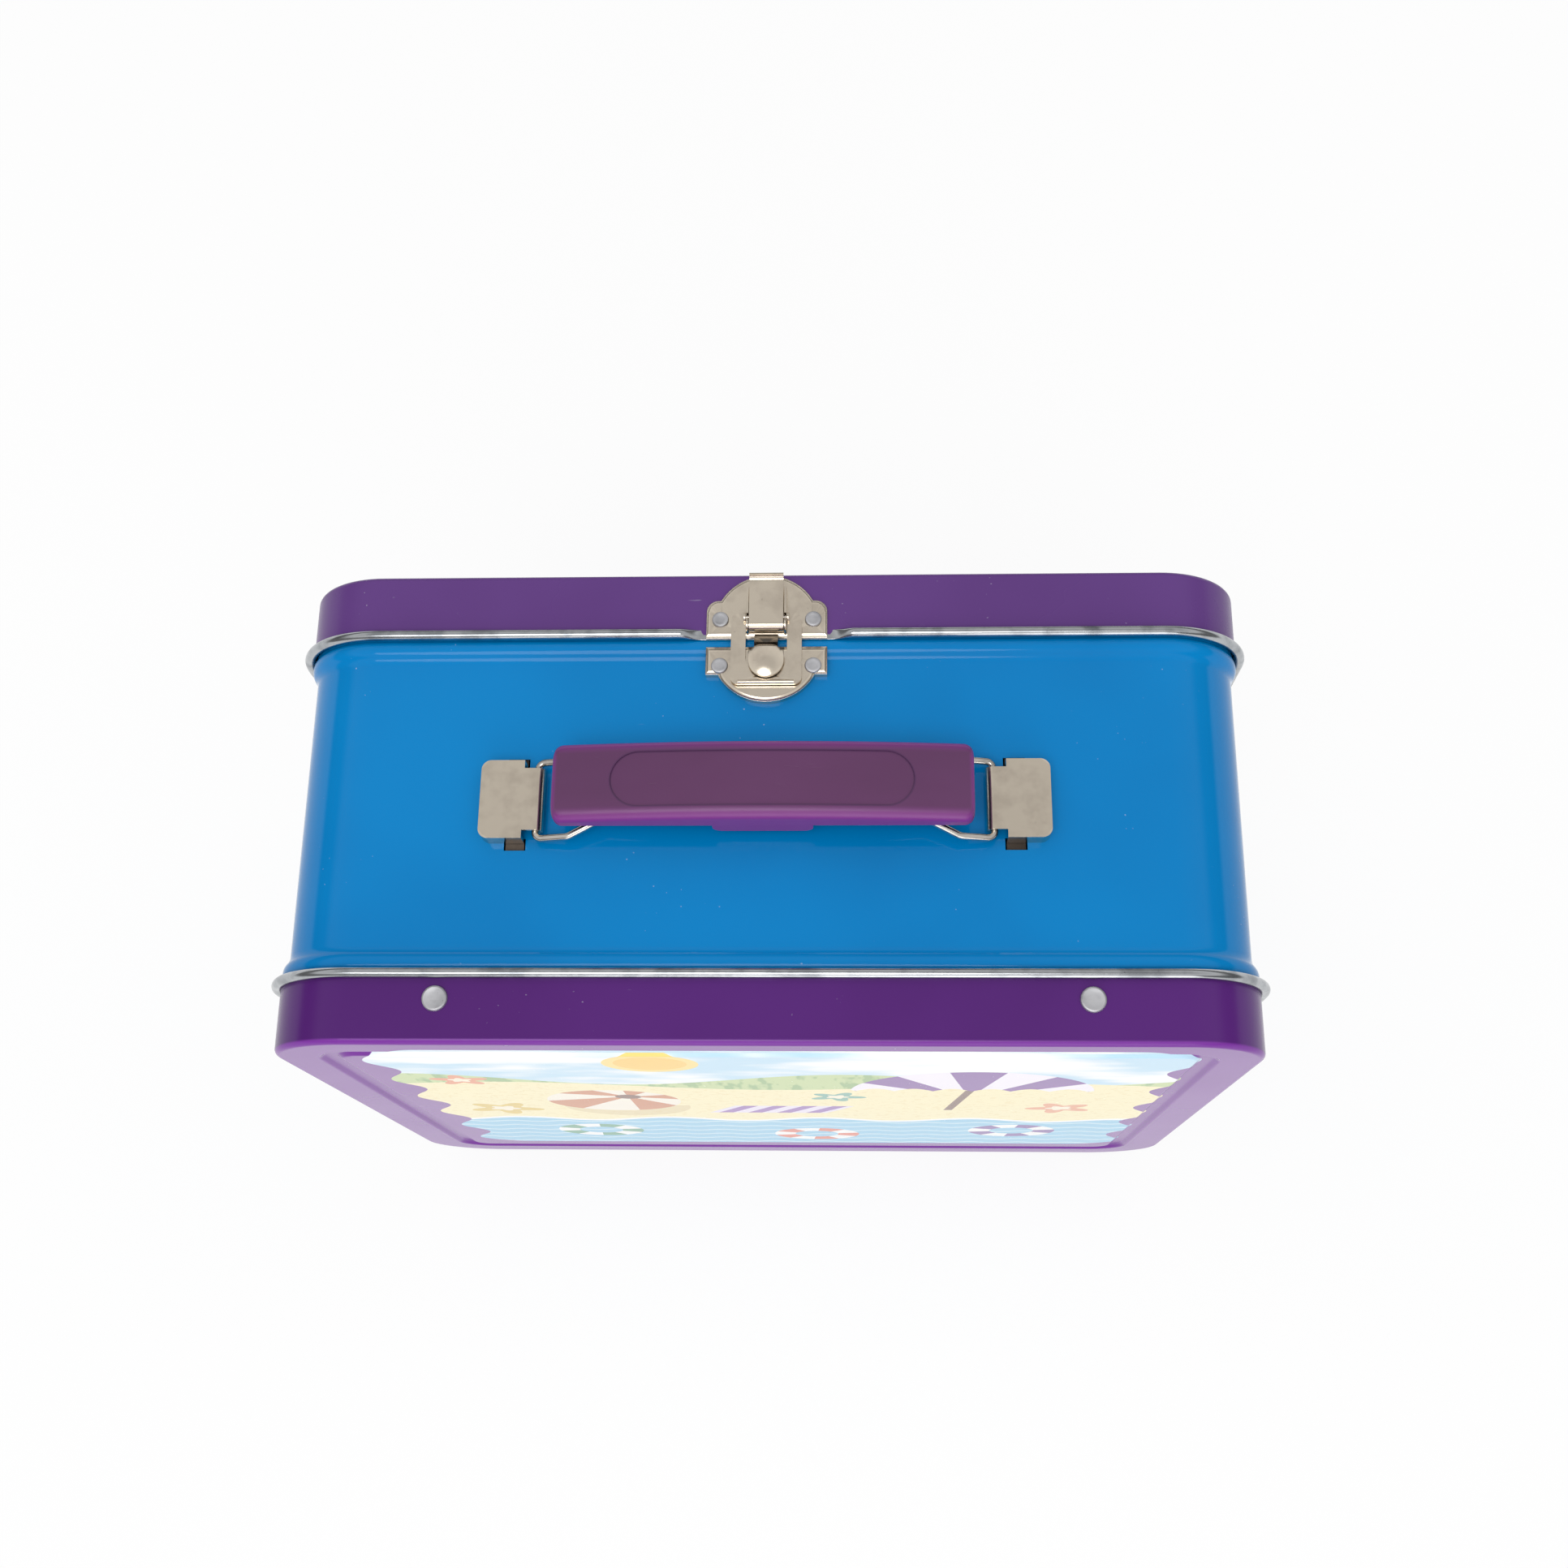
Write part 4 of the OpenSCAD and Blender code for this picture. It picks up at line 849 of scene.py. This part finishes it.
def rim_ring(s):
    """One closed section of the back rim: round, or a flat bar of sheet under the latch."""
    (x, z), (nx, nz) = skirt_place(s)
    flat, flat_end, flat_run = 0.0, 18.2, 4.6
    if z > 0:
        t = min(max((flat_end - abs(x)) / flat_run, 0), 1)
        flat = t * t * (3 - 2 * t)
    ring = []
    for k in range(rim_sides):
        c, d = math.cos(math.tau * k / rim_sides), math.sin(math.tau * k / rim_sides)
        squared = [math.copysign(abs(v) ** (1 - 0.72 * flat), v) for v in (c, d)]
        n = (rim_out + rim_radius * c) * (1 - flat) + sheet / 2 * (squared[0] - 1) * flat
        y = rim_depth + rim_radius * (d * (1 - flat) + squared[1] * flat)
        ring.append(Vector((x + n * nx, y, tin_middle + z + n * nz)) * mm)
    return ring


def tube(name, runs, finish):
    """Joins rings into tubes, with both ends closed, and mirrors them to the other side."""
    skin = bmesh.new()
    for run in runs:
        for side in (1, -1):
            rings = [[skin.verts.new((side * p.x, p.y, p.z)) for p in rim_ring(s)] for s in run]
            skinned(skin, rings)
            for end in (rings[0], rings[-1]):
                if abs(end[0].co.x) > 1e-6:
                    skin.faces.new(end)
    bmesh.ops.remove_doubles(skin, verts=skin.verts, dist=1e-6)
    bmesh.ops.recalc_face_normals(skin, faces=skin.faces)
    mesh = mesh_of(name, skin)
    mesh.materials.append(finish.material)
    return settle(placed(name, mesh), 45)


half_width, upright, arc = width / 2 - corner, height - 2 * corner, math.pi / 2 * corner
bend, wall = half_width + arc, half_width + arc + upright
whole = wall + arc + half_width
under = list(np.linspace(0, hinge_place - hinge_gap, 12))
over = [hinge_place + hinge_gap]
for end, count in ((half_width, 3), (bend, 20), (wall, 19), (wall + arc, 20),
                   (whole - 18.4, 13), (whole, 39)):
    over += list(np.linspace(over[-1], end, count + 1))[1:]
back_rim = tube("back_rolled_rim", [under, over], rim_tin)
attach(back_rim, "lid")
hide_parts("back_lid")
size_note(back_rim)

# %% [markdown]
# ## Rivets
# There are sixteen rivets of three sizes. Each is turned from a short profile: a tail pressed
# flat inside, a shank, and a low head with a shallow dish left by the punch. A tree places
# copies of the turned rivet on the points it is given, and turns those below the middle
# upside down.

# %% Turned template and the tree that places it
def turned(name, line, steps=28):
    """Spins an (r, z) line in millimetres round Z."""
    skin = bmesh.new()
    points = [skin.verts.new((r * mm, 0, z * mm)) for r, z in line]
    edges = [skin.edges.new(pair) for pair in zip(points, points[1:])]
    bmesh.ops.spin(skin, geom=points + edges, cent=(0, 0, 0), axis=(0, 0, 1), angle=math.tau, steps=steps,
                   use_duplicate=False)
    bmesh.ops.remove_doubles(skin, verts=skin.verts, dist=1e-6)
    bmesh.ops.recalc_face_normals(skin, faces=skin.faces)
    return bpy.data.objects.new(name, mesh_of(name, skin))


placer = Grower("rivet_placer", Rivet="Object", Middle="Float", Material="Material")
shape = placer.node("GeometryNodeObjectInfo", {}, {"Object": placer.given["Rivet"]}, "Geometry")
level = placer.node("ShaderNodeSeparateXYZ", {}, {0: placer.node("GeometryNodeInputPosition")}, "Z")
low = placer.math("LESS_THAN", level, placer.given["Middle"])
lean = placer.node("ShaderNodeCombineXYZ", {}, {"X": placer.math("MULTIPLY", low, math.pi)})
spread = placer.node("GeometryNodeInstanceOnPoints", {}, {"Points": placer.given["Geometry"],
                                                          "Instance": shape, "Rotation": lean})
placer.finish(spread)


def rivets(name, body, places, head, rise, shank, stack):
    """Rivets at (x, y, z) places where their heads rest, one mesh for a body."""
    r, neck, tail, foot = head / 2, shank / 2, shank / 2 + 0.7, -stack - 0.4
    below = [(0, foot), (tail - 0.12, foot), (tail, foot + 0.12), (tail, -stack), (neck, -stack), (neck, 0)]
    above = [(r - 0.03, 0), (r, 0.08), (r - 0.03, rise * 0.45), (r - 0.16, rise * 0.80), (r - 0.42, rise)]
    dish = [(r - 0.62, rise * 0.98), (r - 0.85, rise * 0.90), (r * 0.4, rise * 0.86), (0, rise * 0.85)]
    template = turned(name + "_template", below + above + dish)
    spots = ([Vector(p) * mm for p in places], [])
    piece = grow(name, spots, placer, rivet_metal, Rivet=template, Middle=tin_middle * mm)
    bpy.data.objects.remove(template)
    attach(piece, body)
    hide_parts(name.replace("_turned", ""))
    size_note(piece)


latch_spots, hinge_spots = (-9.7, 9.7), [s * hinge_place + d for s in (-1, 1) for d in (-7, 7)]
rivets("tray_rivets_turned", "tin_body", [(x, -41, z) for x in (-64.2, 64.2) for z in (169.9, 1.9)],
       head=5.2, rise=0.7, shank=2.6, stack=0.95)
rivets("catch_rivets_turned", "tin_body", [(x, 28.8, 170.5) for x in latch_spots],
       head=3.5, rise=0.5, shank=1.6, stack=2.2)
rivets("latch_base_rivets_turned", "lid", [(x, 39.2, 170.5) for x in latch_spots],
       head=3.5, rise=0.5, shank=1.6, stack=0.9)
rivets("hinge_body_rivets_turned", "tin_body", [(x, 23.5, 2.75) for x in hinge_spots],
       head=2.8, rise=0.5, shank=1.4, stack=0.75)
rivets("hinge_lid_rivets_turned", "lid", [(x, 44.4, 1.45) for x in hinge_spots],
       head=2.8, rise=0.5, shank=1.4, stack=0.75)

# %% [markdown]
# ## Stamped fittings
# The latch, brackets and hinges are already the right shape, but their edges are razor sharp,
# and a real stamping catches the light along every edge. So a copy of each is welded, its flat
# faces are joined, and a narrow bevel goes round. The bevel is a modifier with an angle limit,
# so curved walls are left as they are. The four pins are plain rods, and only get a finish.

# %% Softened copies of the fittings
def softened(node, bevel, finish, body):
    """A copy of a fitting whose edges have a bevel that many millimetres wide."""
    name = node + "_softened"
    skin = bmesh.new()
    skin.from_mesh(frame["nodes"][node].data)
    bmesh.ops.remove_doubles(skin, verts=skin.verts, dist=2e-6)
    bmesh.ops.dissolve_limit(skin, angle_limit=math.radians(0.8), verts=skin.verts, edges=skin.edges)
    bmesh.ops.triangulate(skin, faces=[f for f in skin.faces if len(f.verts) > 6])
    skin.verts.index_update()
    mesh = bpy.data.meshes.new(name)
    mesh.from_pydata([v.co for v in skin.verts], [], [[v.index for v in f.verts] for f in skin.faces])
    skin.free()
    mesh.materials.append(finish.material)
    piece = placed(name, mesh)
    edge = piece.modifiers.new("soft_edges", "BEVEL")
    edge.width, edge.segments, edge.angle_limit = bevel * mm, 2, math.radians(28)
    edge.use_clamp_overlap = True
    settle(piece, 34)
    even_shade(piece)
    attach(piece, body)
    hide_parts(node)
    size_note(piece)


for node, bevel, finish, body in (
        ("latch_catch_plate", 0.28, catch_nickel, "tin_body"),
        ("latch_base_plate", 0.24, base_nickel, "lid"),
        ("latch_lever", 0.22, nickel, "lever"),
        ("latch_hoop", 0.14, nickel, "hoop"),
        ("handle_bracket_left", 0.24, bracket_nickel, "tin_body"),
        ("handle_bracket_right", 0.24, bracket_nickel, "tin_body"),
        ("hinge_leaf_body_left", 0.08, nickel, "tin_body"),
        ("hinge_leaf_body_right", 0.08, nickel, "tin_body"),
        ("hinge_leaf_lid_left", 0.08, nickel, "lid"),
        ("hinge_leaf_lid_right", 0.08, nickel, "lid")):
    softened(node, bevel, finish, body)

for node in ("hinge_pin_left", "hinge_pin_right", "latch_lever_pin", "latch_hoop_pin"):
    frame["nodes"][node].material_slots[0].material = wire_nickel.material

# %% [markdown]
# ## The two wire bails
# A bail is one round wire, bent to a bow whose ends meet in the bracket's barrel. It could be a
# bevelled curve, but its bends matter, so its middle line is walked out as straight runs and
# bends, like on a bending jig, and the tree sweeps a round section along it. The bails lie 14
# degrees up from the pivot, and mirror each other.

# %% Wire path and sweep
def walked(runs, start, heading, step=math.radians(9)):
    """Points along a flat path of (length,) runs and (radius, degrees) bends."""
    place, way, points = Vector(start), math.radians(heading), []
    for run in runs:
        if len(run) == 1:
            points.append(place.copy())
            place += Vector((math.cos(way), math.sin(way))) * run[0]
            continue
        radius, angle = run[0], math.radians(run[1])
        centre = place + Vector((-math.sin(way), math.cos(way))) * math.copysign(radius, angle)
        count = max(3, round(abs(angle) / step))
        for k in range(count):
            points.append(centre + Matrix.Rotation(angle * k / count, 2) @ (place - centre))
        place = centre + Matrix.Rotation(angle, 2) @ (place - centre)
        way += angle
    return points


bender = Grower("wire_bender", Radius="Float", Sides="Int", Material="Material")
middle_line = bender.node("GeometryNodeMeshToCurve", {}, {"Mesh": bender.given["Geometry"]})
section = bender.node("GeometryNodeCurvePrimitiveCircle", {}, {"Resolution": bender.given["Sides"],
                                                              "Radius": bender.given["Radius"]})
bent = bender.node("GeometryNodeCurveToMesh", {}, {"Curve": middle_line, "Profile Curve": section})
bender.finish(bent)

wire_radius, corner_bend, joggle = 0.75, (1.4, 90), 24
bow_side = [(5,), (3, joggle), (6.223,), (3, -joggle), (9.875,)]
bow = [corner_bend, *bow_side, corner_bend, (7.2,), corner_bend, *bow_side[::-1], corner_bend, (0.01,)]
flat_bow = walked(bow, (0, 6.65), 90)
pivot, lean_up = Vector((46, -0.7, 171.05)), Matrix.Rotation(math.radians(14), 3, "Y")
for name, s in (("right", 1), ("left", -1)):
    line = [pivot + lean_up @ Vector((p.x, p.y, 0)) for p in flat_bow]
    points = [Vector((s * p.x, p.y, p.z)) * mm for p in line]
    edges = [(i, (i + 1) % len(points)) for i in range(len(points))]
    wire = grow(f"handle_wire_{name}_bent", (points, edges), bender, wire_nickel,
                Radius=wire_radius * mm, Sides=14)
    outward(wire, Vector(points[0]))
    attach(wire, "wire_" + name)
    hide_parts("handle_wire_" + name)
    size_note(wire)

# %% [markdown]
# ## The moulded grip
# The grip is a thin moulded shell, open below, that arches a little along its length. Its top
# has rounded long edges, its ends and corners are rounded more tightly, and a tab hangs from
# the middle of each long wall. A box with bevels would lose the arch and the tabs, so sections
# across the grip are placed along its length and skinned.

# %% Grip shell
grip_top, arch, grip_middle = 182.0, 380.08, 0.6
end_start, end_round, corner_start, corner_round = 41.05, 0.7, 39.75, 2


def crown(x):
    """Height of the grip's top at x."""
    return grip_top - arch + math.sqrt(arch ** 2 - x * x)


def grip_foot(x):
    """Height of the wall's lower edge at x, with the rounded tab in the middle."""
    d = abs(x)
    if d > 10.01:
        return 175.9
    return 172.3 if d < 8 else 174.3 - math.sqrt(max(4 - (d - 8) ** 2, 0))


def grip_section(x, drop, pull):
    """Points across the grip, from the front foot over the top to the back foot."""
    half, top, r = 8.1 - pull, crown(x) - drop, 2.2
    foot = grip_foot(x)
    front = [(-half, foot), (-half, foot + 0.5), (-half, top - r - 0.4)]
    front += [(-half + r - r * math.cos(math.pi / 2 * k / 6), top - r + r * math.sin(math.pi / 2 * k / 6))
              for k in range(7)]
    front += [(-half + r + 0.5, top), (-2, top)]
    return [Vector((x, grip_middle + y, z)) * mm for y, z in front + [(-y, z) for y, z in front[::-1]]]


def end_drop(x):
    """How far the top edge has rounded down at x, near an end."""
    d = max(abs(x) - end_start, 0)
    return end_round - math.sqrt(max(end_round ** 2 - d * d, 0))


def plan_pull(x):
    """How far the corner of the plan pulls the wall in at x."""
    d = max(abs(x) - corner_start, 0)
    return corner_round - math.sqrt(max(corner_round ** 2 - d * d, 0))


rounding = [end_start + end_round * math.sin(math.pi / 2 * k / 8) for k in range(9)]
tab_bends = [8 + 2 * math.sin(math.pi / 2 * k / 6) for k in range(7)]
xs = sorted({0, 3, 6, 10.02, 13, 18, 24, 30, 36, 39, corner_start, 40.2, 40.6, *rounding, *tab_bends})
xs = [-x for x in xs[:0:-1]] + xs

skin = bmesh.new()
rows = [[skin.verts.new(p) for p in grip_section(x, end_drop(x), min(plan_pull(x), 1.55))] for x in xs]
skinned(skin, rows, closed=False)
skin.faces.new(rows[0])
skin.faces.new(rows[-1])
grip = placed("handle_grip_moulded", mesh_of("handle_grip_moulded", skin))
print("the grip is skinned over", len(xs), "sections")

# %% [markdown]
# ## Grip plastic and the wall behind it
# The grip is one plum-coloured plastic, rubbed matt on top. Its walls and the edges of its top
# are painted a lighter violet, as painted light where they face the lamps. The edges are found
# by distance, as on the plates. Then the skin is thickened inwards, like a moulding of even wall.

# %% Plastic and wall
oval_half, oval_round = 24.35, 5.65    # the stadium of the recess: half its straight run, its radius
grip_wall, recess_depth = 0.9, 0.3


def moulded_plastic(name):
    f = Finish(name, IOR=1.48)
    oval = span((abs(f.x) - oval_half).math("MAXIMUM", 0.0), f.y - grip_middle) - oval_round
    # Painted shade: a darker line is painted round the oval recess, where its crease is in shade.
    line = abs(oval).fade(0.16, 0.34) * f.z.step(178, 178.5)
    # Painted light: the long edges, the ends and the lower walls get a lighter violet.
    edge = abs(f.y - grip_middle).step(5.4, 8.1).math("MAXIMUM", abs(f.x).step(40.6, 41.8) * 0.8)
    edge = edge.math("MAXIMUM", f.z.fade(176.0, 179.2) * 0.7)
    swirl = f.noise(16, 3, (0.35, 1, 1))
    body = f.mix(swirl.step(0.3, 0.7), tint(95, 48, 94), tint(89, 44, 87))
    body = f.mix(edge * 0.85, body, tint(136, 50, 142))
    scuff = f.noise(1.0, 3, (0.16, 1, 1)).step(0.66, 0.74) * f.noise(9, 2).step(0.5, 0.62)
    f.set(Base_Color=f.mix(line * 0.55, body, tint(70, 34, 78)),
          Roughness=0.30 + 0.12 * f.noise(5, 3) + 0.2 * scuff)
    f.relief(0.05 * f.noise(0.7, 2) - 0.08 * scuff, 0.3)
    return f


grip.data.materials.append(moulded_plastic("grip_moulded_plastic").material)
thicken(grip, grip_wall)
print("the grip's wall is", grip_wall, "mm thick")

# %% [markdown]
# ## The oval recess
# A long oval is sunk into the grip's top. A line in the finish would only look like one from
# straight above, so it is also cut: a cutter with the oval's outline has a floor that follows the
# arch of the top, and a Boolean takes it away. The finish still paints a darker line round the
# oval, as painted shade in its crease.

# %% Oval recess
flats = list(np.linspace(-oval_half, oval_half, 25))
rounds = [oval_half + oval_round * math.sin(math.pi / 2 * k / 12) for k in range(1, 12)] + [29.999]
well = bmesh.new()
slabs = []
for x in [-x for x in rounds[::-1]] + flats + rounds:
    reach = math.sqrt(max(oval_round ** 2 - max(abs(x) - oval_half, 0) ** 2, 0))
    floor_z, clear_z = crown(x) - recess_depth, grip_top + 1
    slabs.append([well.verts.new(Vector((x, grip_middle + y, z)) * mm) for y, z in (
        (-reach, clear_z), (reach, clear_z), (reach, floor_z), (-reach, floor_z))])
skinned(well, slabs)
well.faces.new(slabs[0])
well.faces.new(slabs[-1])
bmesh.ops.recalc_face_normals(well, faces=well.faces)
cut(grip, [placed("recess_cutter", mesh_of("recess_cutter", well))])
print("the recess is", recess_depth, "mm deep")

# %% [markdown]
# ## The ribs
# Four ribs stand inside the grip, two for each bail, and the bails' cross bars slide in their
# slots. Each rib is a flat plate of three by three cells without the middle one, so the slot
# needs no Boolean, and is then given its thickness.

# %% Ribs with slots for the cross bars
rib_columns, slot_low, slot_high, rib_thick = (15, 19.02, 32.79, 36), 175.85, 178.85, 1.0
ribs = bmesh.new()
for side in (-1, 1):
    for y in (-1.9, 2.1):
        cells = []
        grid = [[ribs.verts.new(Vector((side * x, y, z)) * mm)
                 for z in (174.8, slot_low, slot_high, crown(x) - 0.6)] for x in rib_columns]
        for i in range(3):
            for k in range(3):
                if (i, k) != (1, 1):
                    cell = (grid[i][k], grid[i + 1][k], grid[i + 1][k + 1], grid[i][k + 1])
                    cells.append(ribs.faces.new(cell))
        grown = bmesh.ops.extrude_face_region(ribs, geom=cells, use_keep_orig=True)["geom"]
        moved = [g for g in grown if isinstance(g, bmesh.types.BMVert)]
        bmesh.ops.translate(ribs, verts=moved, vec=(0, rib_thick * mm, 0))
bmesh.ops.recalc_face_normals(ribs, faces=ribs.faces)
ribs.from_mesh(grip.data)
ribs.to_mesh(grip.data)
ribs.free()
grip.data.set_sharp_from_angle(angle=math.radians(34))
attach(grip, "grip")
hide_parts("handle_grip")
size_note(grip)

# %% [markdown]
# ## Last update
# The scene is brought up to date once more.

# %% Final update
bpy.context.view_layer.update()
